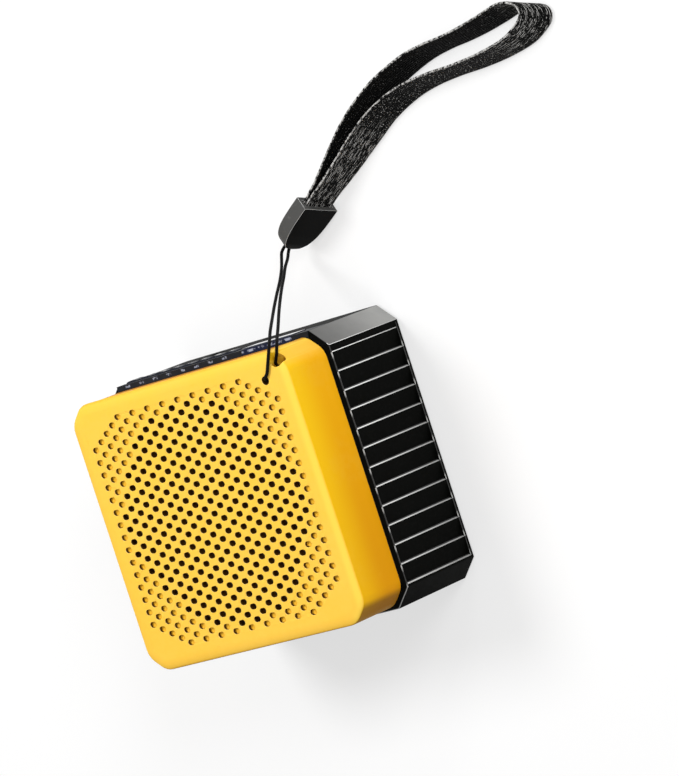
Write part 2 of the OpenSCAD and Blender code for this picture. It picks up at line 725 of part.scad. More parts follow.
module display_module() {
    color([0.12, 0.12, 0.13])
        translate([window_x - window_w / 2 + 1, key_board_y + key_board_t, key_z - window_h / 2 + 0.5])
        cube([window_w - 2, strip_back - key_board_y - key_board_t, window_h - 1]);
}

module key_board() {
    color([0.05, 0.3, 0.15]) translate([-key_board_w / 2, key_board_y, key_board_z])
        cube([key_board_w, key_board_t, key_board_h]);
}

module dome_switches() {
    color([0.8, 0.8, 0.82]) for (k = [0:key_count - 1])
        rod_y(key_x(k), dome_y - dome_t, dome_y, key_z, dome_d);
}

module microphone() {
    color([0.7, 0.7, 0.72]) rod_y(mic_x, key_board_y + key_board_t, strip_back, key_z, mic_d);
}

// ---------- board and power ----------

module main_board() {
    color([0.05, 0.3, 0.15]) difference() {
        translate([-board_w / 2, board_y0, board_z]) cube([board_w, board_y1 - board_y0, board_t]);
        for (x = signs, y = board_screw_ys) translate([x * board_screw_x, y, board_z - overlap])
            cylinder(h = board_t + 2 * overlap, d = 2.8, $fn = 24);
    }
}

module board_parts() {
    color([0.15, 0.15, 0.16]) {
        translate([-8, -8, board_top]) cube(chip);
        translate([12, -12, board_top]) cube(memory);
        translate([8, 14, board_top]) cube(choke);
        translate([-22, 4, board_top]) cube(driver);
        translate([20, 20, board_top]) cube(plug);
        for (c = cans) translate([c[0], c[1], board_top]) cylinder(h = c[3], d = c[2], $fn = 32);
    }
}

module board_screws() {
    color([0.6, 0.6, 0.62]) for (x = signs, y = board_screw_ys) translate([x * board_screw_x, y, 0]) {
        translate([0, 0, board_top]) cylinder(h = 1.6, d = 4.4, $fn = 32);
        translate([0, 0, board_top - 5]) cylinder(h = 5, d = 1.9, $fn = 24);
    }
}

module charging_socket() {
    color([0.75, 0.76, 0.78]) difference() {
        translate([usb_x, board_y1 - usb_l + 0.4, usb_z]) usb_profile(usb_w, usb_h, usb_l);
        translate([usb_x, board_y1 - usb_l + 1.4, usb_z]) usb_profile(usb_w - 0.6, usb_h - 0.6, usb_l);
    }
    color([0.1, 0.1, 0.1]) translate([usb_x - 3.3, board_y1 - usb_l + 1, usb_z - 0.35])
        cube([6.6, usb_l - 2, 0.7]);
}

module microphone_jack() {
    nose_y = half_h - 0.3;
    color([0.1, 0.1, 0.11]) difference() {
        union() {
            translate([jack_x - jack_size / 2, inner_half_h - 0.3 - jack_depth, board_top])
                cube([jack_size, jack_depth, jack_size]);
            rod_y(jack_x, inner_half_h - overlap, nose_y, jack_z, jack_nose_d);
        }
        rod_y(jack_x, nose_y - jack_depth, nose_y + overlap, jack_z, jack_bore);
    }
}

module battery_cell() {
    color([0.15, 0.35, 0.6]) translate([-cell_l / 2, -cell_drop, cell_z]) rotate([0, 90, 0]) {
        cylinder(h = cell_l - cell_tip, d = cell_d, $fn = 48);
        cylinder(h = cell_l, d = 6, $fn = 32);
    }
}

module battery_cradle() {
    inner_l = cell_l + 1.4;
    outer_l = inner_l + 2 * cradle_wall;
    outer_w = cell_d + 2 * cradle_wall;
    color([0.12, 0.12, 0.12]) difference() {
        translate([-outer_l / 2, -cell_drop - outer_w / 2, back_t]) cube([outer_l, outer_w, cradle_h]);
        translate([-inner_l / 2, -cell_drop, cell_z]) rotate([0, 90, 0])
            cylinder(h = inner_l, d = cell_d + 2 * seat_gap, $fn = 48);
        translate([-inner_l / 2, -cell_drop - cell_d / 2 - seat_gap, cell_z])
            cube([inner_l, cell_d + 2 * seat_gap, cell_d]);
    }
}

// ---------- lanyard ----------

// Points of a smooth curve through the route's points
function spline_point(p, i, t) = let (
    a = p[max(i - 1, 0)], b = p[i], c = p[i + 1], d = p[min(i + 2, len(p) - 1)])
    0.5 * (2 * b + (c - a) * t + (2 * a - 5 * b + 4 * c - d) * t * t + (3 * b - a - 3 * c + d) * t * t * t);
function smooth(p, steps) = concat([for (i = [0:len(p) - 2], s = [0:steps - 1]) spline_point(p, i, s / steps)],
    [p[len(p) - 1]]);
function tangent(p, i) = let (v = p[min(i + 1, len(p) - 1)] - p[max(i - 1, 0)]) v / norm(v);
function unit(v) = v / norm(v);

// Frames carried along a path, each turned as little as possible from the last
function carry(p, i, u) = let (t = tangent(p, i)) unit(u - (u * t) * t);
function frames(p, i = 0, u = [0.3, 0.9, 0.2]) = i == len(p) ? []
    : let (v = carry(p, i, u)) concat([v], frames(p, i + 1, v));

// Closed solid through a list of rings with equal point counts
module skin(rings) {
    n = len(rings[0]);
    m = len(rings);
    points = [for (r = rings, q = r) q];
    sides = [for (i = [0:m - 2], j = [0:n - 1]) let (k = (j + 1) % n)
        each [[i * n + j, (i + 1) * n + j, (i + 1) * n + k], [i * n + j, (i + 1) * n + k, i * n + k]]];
    ends = [for (j = [1:n - 2]) each [[0, j, j + 1], [(m - 1) * n, (m - 1) * n + j + 1, (m - 1) * n + j]]];
    polyhedron(points = points, faces = concat(sides, ends));
}

// Turns a direction from the clasp's own axes into the object's
function turn_z(v, a) = [v[0] * cos(a) - v[1] * sin(a), v[0] * sin(a) + v[1] * cos(a), v[2]];
function turn_x(v, a) = [v[0], v[1] * cos(a) - v[2] * sin(a), v[1] * sin(a) + v[2] * cos(a)];
function from_clasp(v) = turn_z(turn_x(turn_z(v, clasp_turn[2]), clasp_turn[1]), clasp_turn[0]);

module lanyard_cord() {
    path = smooth(concat(cord_out, [for (p = cord_turn) clasp_tail + from_clasp(p)], cord_back), cord_steps);
    side = frames(path);
    rings = [for (i = [0:len(path) - 1]) let (u = side[i], v = cross(tangent(path, i), u))
        [for (a = [0:360 / cord_sides:359]) path[i] + cord_d / 2 * (cos(a) * u + sin(a) * v)]];
    color([0.04, 0.04, 0.04]) skin(rings);
}

module at_clasp() {
    translate(clasp_tail) rotate([0, 0, clasp_turn[0]]) rotate([clasp_turn[1], 0, 0])
        rotate([0, 0, clasp_turn[2]]) children();
}

// Outline of the clasp: wide at the mouth, round at the tail
function clasp_half(s) = clasp_w / 2 * sqrt(1 - pow(1 - s, clasp_bluff));
clasp_stations = [0, 0.01, 0.03, 0.06, 0.1, 0.15, 0.21, 0.28, 0.37, 0.48, 0.62, 0.8, 1];

// U-shaped clasp: the cord turns in a pocket at its tail and the webbing sits in its mouth
module cord_clasp() {
    n = len(clasp_stations) - 1;
    cheek = clasp_t / 2;
    throat = cord_d + 0.6;
    color([0.08, 0.08, 0.08]) at_clasp() difference() {
        intersection() {
            translate([0, 0, -cheek]) linear_extrude(clasp_t) polygon(concat(
                [for (i = [0:n]) [clasp_l * clasp_stations[i], -clasp_half(clasp_stations[i])]],
                [for (i = [n:-1:1]) [clasp_l * clasp_stations[i], clasp_half(clasp_stations[i])]]));
            rotate([-90, 0, 0]) translate([0, 0, -clasp_w]) linear_extrude(2 * clasp_w)
                polygon([[-0.1, -cheek * 0.55], [1, -cheek * 0.8], [3, -cheek * 0.94], [7, -cheek],
                    [clasp_l, -cheek], [clasp_l, cheek], [7, cheek], [3, cheek * 0.94],
                    [1, cheek * 0.8], [-0.1, cheek * 0.55]]);
        }
        translate([-overlap, -clasp_throat / 2, -throat / 2]) cube([overlap + 2, clasp_throat, throat]);
        translate([1, -clasp_pocket[1] / 2, -throat / 2]) cube([clasp_pocket[0], clasp_pocket[1], throat]);
        translate([clasp_l - clasp_slot_l, -strap_w / 2 - 0.3, -strap_t - 0.3])
            cube([clasp_slot_l + overlap, strap_w + 0.6, 2 * strap_t + 0.6]);
    }
}

// Webbing swept along the loop's lower edge: upright in the clasp, leaning back round the loop
module wrist_strap() {
    mouth = clasp_tail + from_clasp([clasp_l, -strap_w / 2, 0]);
    edge = smooth(concat(
        [for (q = strap_ends) mouth + from_clasp([q, 0, strap_layer])], strap_edge,
        [for (i = [len(strap_ends) - 1:-1:0]) mouth + from_clasp([strap_ends[i], 0, -strap_layer])]),
        strap_steps);
    rings = [for (i = [0:len(edge) - 1]) let (
        t = tangent(edge, i),
        k = min(1, max(0, 1.3 - norm(edge[i] - mouth) / strap_settle)),
        lean = unit(k * from_clasp([0, 1, 0]) + (1 - k) * strap_lean),
        up = unit(lean - 0.5 * (lean * t) * t),
        n = strap_t / 2 * unit(cross(t, up)),
        w = strap_w * up)
        [edge[i] + n, edge[i] - n, edge[i] + w - n, edge[i] + w + n]];
    color([0.05, 0.05, 0.05]) skin(rings);
}

front_housing();
dust_cloth();
foam_ring();
speaker_basket();
speaker_surround();
speaker_spider();
speaker_cone();
dust_cap();
voice_coil();
speaker_top_plate();
speaker_magnet();
speaker_yoke();
speaker_screws();
seam_seal();
rear_housing();
housing_screws();
rest_pads();
control_strip();
display_window();
display_module();
key_board();
dome_switches();
microphone();
main_board();
board_parts();
board_screws();
charging_socket();
microphone_jack();
battery_cell();
battery_cradle();
lanyard_cord();
cord_clasp();
wrist_strap();
key_cap(0);  // key_power
key_cap(1);  // key_play
key_cap(2);  // key_previous
key_cap(3);  // key_next
key_cap(4);  // key_volume_down
key_cap(5);  // key_volume_up
key_cap(6);  // key_record
key_cap(7);  // key_siren
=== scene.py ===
import json
import math

import bmesh
import bpy
from mathutils import Matrix, Vector


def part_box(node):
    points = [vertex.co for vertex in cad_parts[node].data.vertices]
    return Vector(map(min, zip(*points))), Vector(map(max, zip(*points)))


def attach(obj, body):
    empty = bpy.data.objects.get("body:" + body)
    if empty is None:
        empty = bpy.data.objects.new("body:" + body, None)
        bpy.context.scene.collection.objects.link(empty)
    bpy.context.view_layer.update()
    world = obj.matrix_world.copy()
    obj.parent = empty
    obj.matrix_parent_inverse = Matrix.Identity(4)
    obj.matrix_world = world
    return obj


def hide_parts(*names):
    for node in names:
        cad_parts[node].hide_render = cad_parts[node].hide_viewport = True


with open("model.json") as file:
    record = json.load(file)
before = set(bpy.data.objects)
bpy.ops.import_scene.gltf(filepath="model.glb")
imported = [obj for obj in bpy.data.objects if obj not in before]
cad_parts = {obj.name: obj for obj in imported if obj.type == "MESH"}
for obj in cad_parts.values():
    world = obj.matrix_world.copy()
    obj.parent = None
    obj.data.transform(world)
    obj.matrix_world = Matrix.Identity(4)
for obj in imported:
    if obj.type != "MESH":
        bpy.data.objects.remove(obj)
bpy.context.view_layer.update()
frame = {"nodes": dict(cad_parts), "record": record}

bl_info = {
    "name": "Pocket Megaphone Looks",
    "version": (1, 0, 0),
    "blender": (4, 5, 0),
    "location": "View3D > Sidebar > Megaphone",
    "description": "Dresses a packed pocket megaphone in detailed shells, keys, lanyard and materials",
    "category": "Object",
}

MM = 0.001
TURN = 2 * math.pi

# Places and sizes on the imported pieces, in metres
GRILLE_HALF = (0.0432, 0.0425)                # half width and half height of the field of holes
SCOOP = (0.0432, 0.0406)                      # centre of the lanyard scoop in the front face
SCOOP_RADIUS = 0.0032
SLAT_FIRST = 0.0394                           # height of the first louvre ledge
SLAT_PITCH = 0.00672
SLAT_COUNT = 12
SIDE_SPAN = (-0.045, 0.045)                   # foot and top of the louvred sides
POCKET_ENDS = (0.004, 0.036)                  # every louvre pocket ends outside these depths
RIM_LINE = 0.0403                             # depth of the thin painted highlight line on the rear shell's rim
KEY_FIRST = -0.038                            # centre of the first key
KEY_PITCH = 0.0063
KEY_CROWN = 0.009                             # radius of the key caps' crown
INK = (-0.00002, 0.00004)                     # under and upper side of a key mark, from the cap
HEM = 0.0005                                  # flat hem on each side of the strap's ribs
RIB_DEPTH = 0.00013                           # grooves between the strap's ribs
WEAVE_STEP = 0.0011                           # crossings of the yarn along the strap
STRAND_STEP = 0.00058                         # spacing of the cord's strands
STRANDS_ROUND = 6

# Noise scales of the plastics, in features per metre
GRAIN = 3800                                  # fine moulded grain
SMUDGE = 240                                  # slow changes of gloss

NEAR_BLACK = (0.003, 0.003, 0.003)

# Tolerances of the mesh work, in metres and radians
WELD = 2e-6                                   # corners nearer than this are one
SLIVER = 2e-7                                 # shorter edges are dropped after rounding
ON_FACE = 0.00001                             # corners within this of a face lie on it
FLAT = math.radians(0.4)                      # faces that meet at less than this are one
SHARP = math.radians(28)                      # edges sharper than this are rounded
CREASE = math.radians(40)                     # shading breaks at edges sharper than this


# ---------------------------------------------------------------- settings

class MegaphoneColours(bpy.types.PropertyGroup):
    """Colours of the megaphone's finishes"""
    shell_yellow: bpy.props.FloatVectorProperty(
        name="Shell yellow", description="Colour of the front shell", subtype="COLOR",
        size=3, min=0, max=1, default=(0.93, 0.56, 0.075))
    # painted shade: this amber darkens the yellow shell's walls and the floors of its holes
    wall_shade_amber: bpy.props.FloatVectorProperty(
        name="Shell amber", description="Deeper tone of the yellow plastic on its walls",
        subtype="COLOR", size=3, min=0, max=1, default=(0.88, 0.42, 0.001))
    shell_black: bpy.props.FloatVectorProperty(
        name="Shell black", description="Colour of the rear shell", subtype="COLOR",
        size=3, min=0, max=1, default=(0.0016, 0.0018, 0.0014))
    # painted reflection: this grey stands for light reflected in the rear shell's upper corner faces
    reflection_grey: bpy.props.FloatVectorProperty(
        name="Satin grey", description="Colour of the rear shell's satin corner faces", subtype="COLOR",
        size=3, min=0, max=1, default=(0.30, 0.30, 0.29))
    strip_black: bpy.props.FloatVectorProperty(
        name="Strip black", description="Colour of the control strip", subtype="COLOR",
        size=3, min=0, max=1, default=(0.014, 0.016, 0.020))
    key_grey: bpy.props.FloatVectorProperty(
        name="Key grey", description="Colour of the keys", subtype="COLOR",
        size=3, min=0, max=1, default=(0.022, 0.024, 0.032))
    webbing_black: bpy.props.FloatVectorProperty(
        name="Webbing black", description="Colour of the strap's yarn", subtype="COLOR",
        size=3, min=0, max=1, default=(0.0012, 0.0012, 0.0012))
    clasp_grey: bpy.props.FloatVectorProperty(
        name="Clasp grey", description="Colour of the clasp", subtype="COLOR",
        size=3, min=0, max=1, default=(0.002, 0.002, 0.0017))


class MegaphoneSizes(bpy.types.PropertyGroup):
    """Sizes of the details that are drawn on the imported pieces"""
    rim_round: bpy.props.FloatProperty(
        name="Rim rounding", description="Rounding of the grille's hole rims",
        subtype="DISTANCE", unit="LENGTH", min=0.00004, max=0.0003, default=0.0002)
    edge_round: bpy.props.FloatProperty(
        name="Edge rounding", description="Rounding of the black shell's edges",
        subtype="DISTANCE", unit="LENGTH", min=0.00004, max=0.0004, default=0.00018)
    cord_diameter: bpy.props.FloatProperty(
        name="Cord diameter", description="Diameter of the lanyard cord",
        subtype="DISTANCE", unit="LENGTH", min=0.0008, max=0.0014, default=0.0011)
    strap_width: bpy.props.FloatProperty(
        name="Strap width", description="Width of the wrist strap's webbing",
        subtype="DISTANCE", unit="LENGTH", min=0.010, max=0.0126, default=0.012)
    strap_thickness: bpy.props.FloatProperty(
        name="Strap thickness", description="Thickness of the webbing",
        subtype="DISTANCE", unit="LENGTH", min=0.0006, max=0.0012, default=0.001)
    rib_count: bpy.props.IntProperty(
        name="Rib count", description="Ribs across one face of the webbing",
        min=6, max=16, default=11)


def colour(name):
    """One of the panel's colours."""
    return tuple(getattr(bpy.context.scene.megaphone_colours, name))


def sizes():
    """The panel's sizes."""
    return bpy.context.scene.megaphone_sizes


# ---------------------------------------------------------------- shader expressions

class Val:
    """A socket that can be used in Python arithmetic: each operator adds a Math node."""

    def __init__(self, tree, socket):
        self.tree = tree
        self.socket = socket

    def _math(self, operation, *others, swap=False):
        """A Math node on this value and the others, which swap puts first."""
        inputs = [self, *others]
        if swap:
            inputs.reverse()
        return self.tree.node("ShaderNodeMath", {"operation": operation},
                              {i: v for i, v in enumerate(inputs)})

    def __add__(self, o): return self._math("ADD", o)
    def __radd__(self, o): return self._math("ADD", o, swap=True)
    def __sub__(self, o): return self._math("SUBTRACT", o)
    def __rsub__(self, o): return self._math("SUBTRACT", o, swap=True)
    def __mul__(self, o): return self._math("MULTIPLY", o)
    def __rmul__(self, o): return self._math("MULTIPLY", o, swap=True)
    def __pow__(self, o): return self._math("POWER", o)
    def __mod__(self, o): return self._math("FLOORED_MODULO", o)
    def __gt__(self, o): return self._math("GREATER_THAN", o)
    def __lt__(self, o): return self._math("LESS_THAN", o)
    def __abs__(self): return self._math("ABSOLUTE")

    def sin(self): return self._math("SINE")
    def floor(self): return self._math("FLOOR")
    def fract(self): return self._math("FRACT")
    def least(self, o): return self._math("MINIMUM", o)
    def most(self, o): return self._math("MAXIMUM", o)

    def ease(self, low, high, to_low=0.0, to_high=1.0):
        """Runs smoothly from to_low at low to to_high at high."""
        return self.tree.node("ShaderNodeMapRange", {"interpolation_type": "SMOOTHSTEP"},
                              {"Value": self, "From Min": low, "From Max": high,
                               "To Min": to_low, "To Max": to_high})


class Finish:
    """One material's or world's node tree, built by expressions."""

    def __init__(self, name, store=None):
        self.material = (bpy.data.materials if store is None else store).new(name)
        self.material.use_nodes = True
        self.nodes = self.material.node_tree.nodes
        self.links = self.material.node_tree.links
        self.nodes.clear()

    def node(self, kind, settings=None, inputs=None, output=0):
        """Adds a node, sets it and its sockets, and gives back one of its outputs."""
        made = self.nodes.new(kind)
        for key, value in (settings or {}).items():
            setattr(made, key, value)
        for key, value in (inputs or {}).items():
            if isinstance(value, Val):
                self.links.new(value.socket, made.inputs[key])
            elif isinstance(value, (tuple, list)) and len(made.inputs[key].default_value) == 4:
                made.inputs[key].default_value = (*value[:3], 1.0)
            else:
                made.inputs[key].default_value = value
        return Val(self, made.outputs[output])

    def place(self):
        """The point on the surface, in metres."""
        return self.node("ShaderNodeTexCoord", output="Object")

    def lengthwise(self):
        """Metres along a cord or strap, and across or around it."""
        return self.node("ShaderNodeUVMap", {"uv_map": "run"})

    def facing(self):
        """The way the surface faces."""
        return self.node("ShaderNodeTexCoord", output="Normal")

    def axis(self, vector, letter):
        """One component of a vector."""
        return self.node("ShaderNodeSeparateXYZ", inputs={0: vector}, output=letter)

    def axes(self, vector, letters="XYZ"):
        """The components of a vector that letters name."""
        return [self.axis(vector, letter) for letter in letters]

    def noise(self, scale, detail=2.0, rough=0.5, at=None):
        """Cloudy noise from 0 to 1, in features per metre unless at is given."""
        return self.node("ShaderNodeTexNoise", {"noise_dimensions": "3D"},
                         {"Vector": at or self.place(), "Scale": scale, "Detail": detail,
                          "Roughness": rough})

    def cells(self, scale):
        """Distance to the middle of the nearest of many small cells."""
        return self.node("ShaderNodeTexVoronoi", {"feature": "F1"},
                         {"Vector": self.place(), "Scale": scale})

    def mix(self, factor, one, other):
        """A colour from one to other as factor runs from 0 to 1."""
        return self.node("ShaderNodeMix", {"data_type": "RGBA"},
                         {0: factor, 6: one, 7: other}, output=2)

    def bump(self, height, distance, strength):
        """A normal bent by a height."""
        return self.node("ShaderNodeBump", inputs={"Height": height, "Distance": distance,
                                                   "Strength": strength})

    def surface(self, **inputs):
        """Ends the tree with a Principled shader."""
        names = {"colour": "Base Color", "rough": "Roughness", "metal": "Metallic",
                 "coat": "Coat Weight", "coat_rough": "Coat Roughness", "normal": "Normal",
                 "specular": "Specular IOR Level", "sheen": "Sheen Weight"}
        return self.show(self.node("ShaderNodeBsdfPrincipled",
                                   inputs={names[k]: v for k, v in inputs.items()}))

    def seen(self):
        """1 for what the camera, a mirror or a pane sees, 0 for what lights the scene."""
        rays = [self.node("ShaderNodeLightPath", output=f"Is {kind} Ray")
                for kind in ("Camera", "Glossy", "Transmission")]
        return rays[0].most(rays[1]).most(rays[2])

    def show(self, shader, output="ShaderNodeOutputMaterial"):
        """Ends the tree with shader and gives back its material or world."""
        out = self.nodes.new(output)
        self.links.new(shader.socket, out.inputs["Surface"])
        return self.material


# ---------------------------------------------------------------- finishes

def scaled(tone, gain, lift=0.0):
    """A colour with each channel multiplied by gain and raised by lift."""
    return tuple(t * gain + lift for t in tone)


def yellow_plastic():
    """Warm yellow face with a pale side border as a painted highlight, and painted shade: amber walls
    and brown in the holes' walls.
    """
    f = Finish("yellow_plastic")
    x, y, z = f.axes(f.place())
    side, up, out = f.axes(f.facing())
    low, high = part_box("front_housing")
    seam, face = low[2], high[2]
    in_grille = (abs(x) < GRILLE_HALF[0]) * (abs(y) < GRILLE_HALF[1]) * (z > face - 0.004)
    upright = 1 - abs(out).ease(0.35, 0.97)

    # the face, and painted shade on the walls: amber where they turn away, darker towards the bottom,
    # less near the face and on upward facets
    low_wall_shade, near_face_wall_shade = (0.74, 0.31, 0.0008), (0.95, 0.56, 0.005)
    mottle = f.noise(38, 2).ease(0.3, 0.75) * 0.16 + f.noise(420, 3).ease(0.35, 0.7) * 0.08
    near_face = z.ease(seam + 0.006, face - 0.001) * y.ease(low[1], high[1], 0.6, 1.0)
    amber = f.mix(y.ease(low[1], high[1]), low_wall_shade, colour("wall_shade_amber"))
    amber = f.mix(near_face, amber, near_face_wall_shade)
    wall_shade_share = (mottle + upright * up.ease(0.15, 0.75, 0.9, 0.25)).least(1)
    tone = f.mix(wall_shade_share, colour("shell_yellow"), amber)

    # painted highlight on the pale side border, and painted shade on the brown foot facet and at the
    # seam of the control side
    border_painted_highlight, foot_painted_shade = (1.0, 0.70, 0.09), (0.24, 0.095, 0.002)
    seam_painted_shade = (0.50, 0.19, 0.003)
    border = side.ease(0.04, 0.25) * side.ease(0.45, 0.75, 1.0, 0.0) * (1 - in_grille)
    tone = f.mix(border * 0.5, tone, border_painted_highlight)
    tone = f.mix(upright * up.ease(-0.75, -0.3, 0.85, 0.0), tone, foot_painted_shade)
    control_side = up.ease(0.3, 0.65) * abs(side).ease(0.2, 0.5, 1.0, 0.0)
    near_seam = z.ease(seam + 0.002, seam + 0.016, 1.0, 0.3)
    tone = f.mix(control_side * near_seam, tone, seam_painted_shade)

    # the holes: painted shade as amber floors and brown walls that darken with depth, and pale rims as
    # painted highlights
    deep_hole_shade, upper_hole_shade, rim_painted_highlight = (0.045, 0.014, 0.002), (0.13, 0.05, 0.02), (1.0, 0.80, 0.32)
    sunk = in_grille * z.ease(face - 0.00035, face - 0.00008, 1.0, 0.0)
    wall = 1 - abs(out).ease(0.55, 0.995)
    tone = f.mix(sunk * 0.5, tone, colour("wall_shade_amber"))
    brown = f.mix(z.ease(face - 0.0024, face - 0.0013, 1.0, 0.0), deep_hole_shade, upper_hole_shade)
    tone = f.mix(sunk * wall * 0.96, tone, brown)

    # the lanyard scoop, with painted light on one side and painted shade in brown on the other
    scoop_painted_light, scoop_painted_shade = (1.0, 0.66, 0.05), (0.30, 0.09, 0.002)
    from_scoop = ((x - SCOOP[0]) ** 2 + (y - SCOOP[1]) ** 2) ** 0.5
    scoop = (from_scoop < SCOOP_RADIUS) * z.ease(face - 0.0012, face - 0.0004, 1.0, 0.0)
    scoop_tone = f.mix(side.ease(-0.6, -0.1, 1.0, 0.0), scoop_painted_light, scoop_painted_shade)
    tone = f.mix(scoop * 0.9, tone, scoop_tone)
    rim = in_grille * (1 - sunk) * abs(out).ease(0.9, 0.99, 1.0, 0.0)
    tone = f.mix(rim * 0.8, tone, rim_painted_highlight)

    grain = f.noise(5200, 2, 0.6) + f.noise(1500, 2) * 0.5
    rough = 0.46 + f.noise(700, 2) * 0.10 + mottle * 0.2
    return f.surface(colour=tone, rough=rough, specular=0.045,
                     normal=f.bump(grain, 0.000012, 0.5))


def black_plastic(name, rim=None):
    """Fine-grained black, with a thin painted highlight line at the depth rim round the bottom corners.
    """
    f = Finish(name)
    dusty, rim_highlight_grey = (0.006, 0.006, 0.0055), (0.45, 0.45, 0.44)
    spots = f.noise(900, 3).ease(0.45, 0.8)
    base = f.mix(spots * 0.5, colour("shell_black"), dusty)
    if rim:
        y, z = f.axes(f.place(), "YZ")
        line = abs(z - rim).ease(0.00008, 0.0002, 1.0, 0.0)
        low_corners = y.ease(-0.0425, -0.0400, 1.0, 0.0)
        base = f.mix(line * low_corners * 0.8, base, rim_highlight_grey)
    grain = f.noise(GRAIN, 2, 0.6) + f.cells(2600) * 0.6
    rough = 0.52 + f.noise(SMUDGE, 3) * 0.14
    return f.surface(colour=base, rough=rough, specular=0.02,
                     normal=f.bump(grain, 0.000016, 0.6))


def satin_surface(f, base, rough, specular):
    """The satin that the rear shell's corner faces, ledges and edge highlights share."""
    return f.surface(colour=base, rough=rough + f.noise(SMUDGE, 3) * 0.1, specular=specular,
                     normal=f.bump(f.noise(GRAIN, 2, 0.6), 0.000012, 0.5))


def painted_corner_reflection(name, grey, front_share):
    """Satin grey of the corner faces as a painted reflection, paler towards the back and the control
    side.
    """
    f = Finish(name)
    y, z = f.axes(f.place(), "YZ")
    depth = z.ease(0.0, 0.042, 1.0, front_share)
    high = y.ease(*SIDE_SPAN, 0.6, 1.0)
    cloud = f.noise(120, 3).ease(0.3, 0.8, 1.0, 0.86)
    return satin_surface(f, f.mix(depth * high * cloud, NEAR_BLACK, grey), 0.34, 0.35)


def pale_ledge(wall):
    """Painted highlight on the outer border of the louvre ledges, darker towards the bottom of the
    shell.
    """
    f = Finish("pale_ledge")
    bright, dark = (0.97, 0.97, 0.95), (0.02, 0.02, 0.02)
    x, y, z = f.axes(f.place())
    outer = abs(x).ease(wall - 0.0009, wall - 0.00066)
    highlight_share = y.ease(*SIDE_SPAN, 0.72, 1.0) * z.ease(0.0, POCKET_ENDS[1], 0.5, 1.0)
    cloud = f.noise(300, 3).ease(0.3, 0.7, 1.0, 0.9)
    return satin_surface(f, f.mix(outer * highlight_share * cloud, dark, bright), 0.3, 0.5)


def rubbed_edge(wall):
    """Painted highlights at both ends of each louvre pocket and round the bottom of the front rim, over
    a faint grey mottle.
    """
    f = Finish("rubbed_edge")
    pale = (0.75, 0.75, 0.73)
    x, y, z = f.axes(f.place())
    phase = ((SLAT_FIRST - y) * (1 / SLAT_PITCH)).fract()
    front_ends = (z > POCKET_ENDS[1]) * phase.ease(0.1, 0.42, 1.0, 0.0)
    back_ends = (z < POCKET_ENDS[0]) * phase.ease(0.6, 0.85)
    slats = (y < SLAT_FIRST) * (y > SLAT_FIRST - SLAT_COUNT * SLAT_PITCH)
    ends = front_ends.most(back_ends) * (abs(x) > wall - 0.003) * slats
    low_corners = y.ease(-0.0425, -0.0405, 1.0, 0.0)
    rim = (z > 0.0385) * low_corners
    highlight_and_mottle = (ends * 0.65).most(rim * 0.8).most(0.02 + f.noise(200, 3) * 0.04)
    return satin_surface(f, f.mix(highlight_and_mottle, NEAR_BLACK, pale), 0.36, 0.3)


def handled_film(f):
    """Slow smears that handling leaves on smooth plastic."""
    return f.noise(160, 4, 0.6).ease(0.4, 0.75)


def window_gloss(tone):
    """Glossy dark window with faint smears."""
    f = Finish("window_gloss")
    film = handled_film(f)
    base = f.mix(film * 0.4, tone, scaled(tone, 1.8, 0.003))
    return f.surface(colour=base, rough=0.04 + film * 0.05, coat=0.6, coat_rough=0.06,
                     normal=f.bump(f.noise(300, 2), 0.00003, 0.25))


def low_sheen(f, base, film, rough):
    """Moulded plastic whose sheen stays low where it is seen along its face."""
    return f.surface(colour=base, rough=rough + film * 0.12, specular=0.06,
                     normal=f.bump(f.noise(900, 3), 0.00002, 0.4))


def key_plastic(tone):
    """Dark grey of the key caps."""
    f = Finish("key_gloss")
    film = handled_film(f)
    return low_sheen(f, f.mix(film * 0.5, tone, scaled(tone, 1.7, 0.003)), film, 0.34)


def strip_plastic(window):
    """Control strip: dark blue-grey, with pale ticks by the keys and glints by the window as painted
    highlights, and a blue window edge on its front.
    """
    f = Finish("strip_plastic")
    tone, window_blue, pale_blue = colour("strip_black"), (0.010, 0.015, 0.040), (0.40, 0.46, 0.60)
    x, y, z = f.axes(f.place())
    front = (f.axis(f.facing(), "Z") > 0.8) * (z > 0.04)
    middle = y.ease(0.0472, 0.0474) * y.ease(0.0480, 0.0482, 1.0, 0.0)
    from_key = abs((x - (KEY_FIRST - KEY_PITCH / 2)) % KEY_PITCH - KEY_PITCH / 2)
    past_keys = 0.0095
    tick_highlight = (from_key.ease(0.0009, 0.0012, 1.0, 0.0) * (x < past_keys)
            * f.noise(900, 3).ease(0.42, 0.6))
    glazed = (x > window[0]) * (x < window[1])
    glint = glazed * f.noise(420, 3, 0.6).ease(0.46, 0.57)
    film = handled_film(f)
    base = f.mix(film * 0.5, tone, scaled(tone, 1.7, 0.003))
    base = f.mix(front * glazed, base, window_blue)
    base = f.mix(front * middle * (tick_highlight * 0.7 + glint * 0.8).least(1), base, pale_blue)
    return low_sheen(f, base, film, 0.42)


def matt_rubber(name, tone):
    """Matt cellular rubber or foam."""
    f = Finish(name)
    cell = f.cells(2400)
    base = f.mix(cell.ease(0.1, 0.6), scaled(tone, 0.6), tone)
    return f.surface(colour=base, rough=0.72 + cell * 0.2, specular=0.3,
                     normal=f.bump(cell, 0.00005, 0.8))


def woven_cloth(name, tone, pitch):
    """Plain weave in the XY plane, with a thread every pitch metres."""
    f = Finish(name)
    warp, weft = ((way * (math.pi / pitch)).sin() for way in f.axes(f.place(), "XY"))
    thread = abs(warp * weft)
    base = f.mix(thread, scaled(tone, 0.35), tone)
    return f.surface(colour=base, rough=0.85, sheen=0.1, normal=f.bump(thread, 0.00008, 0.8))


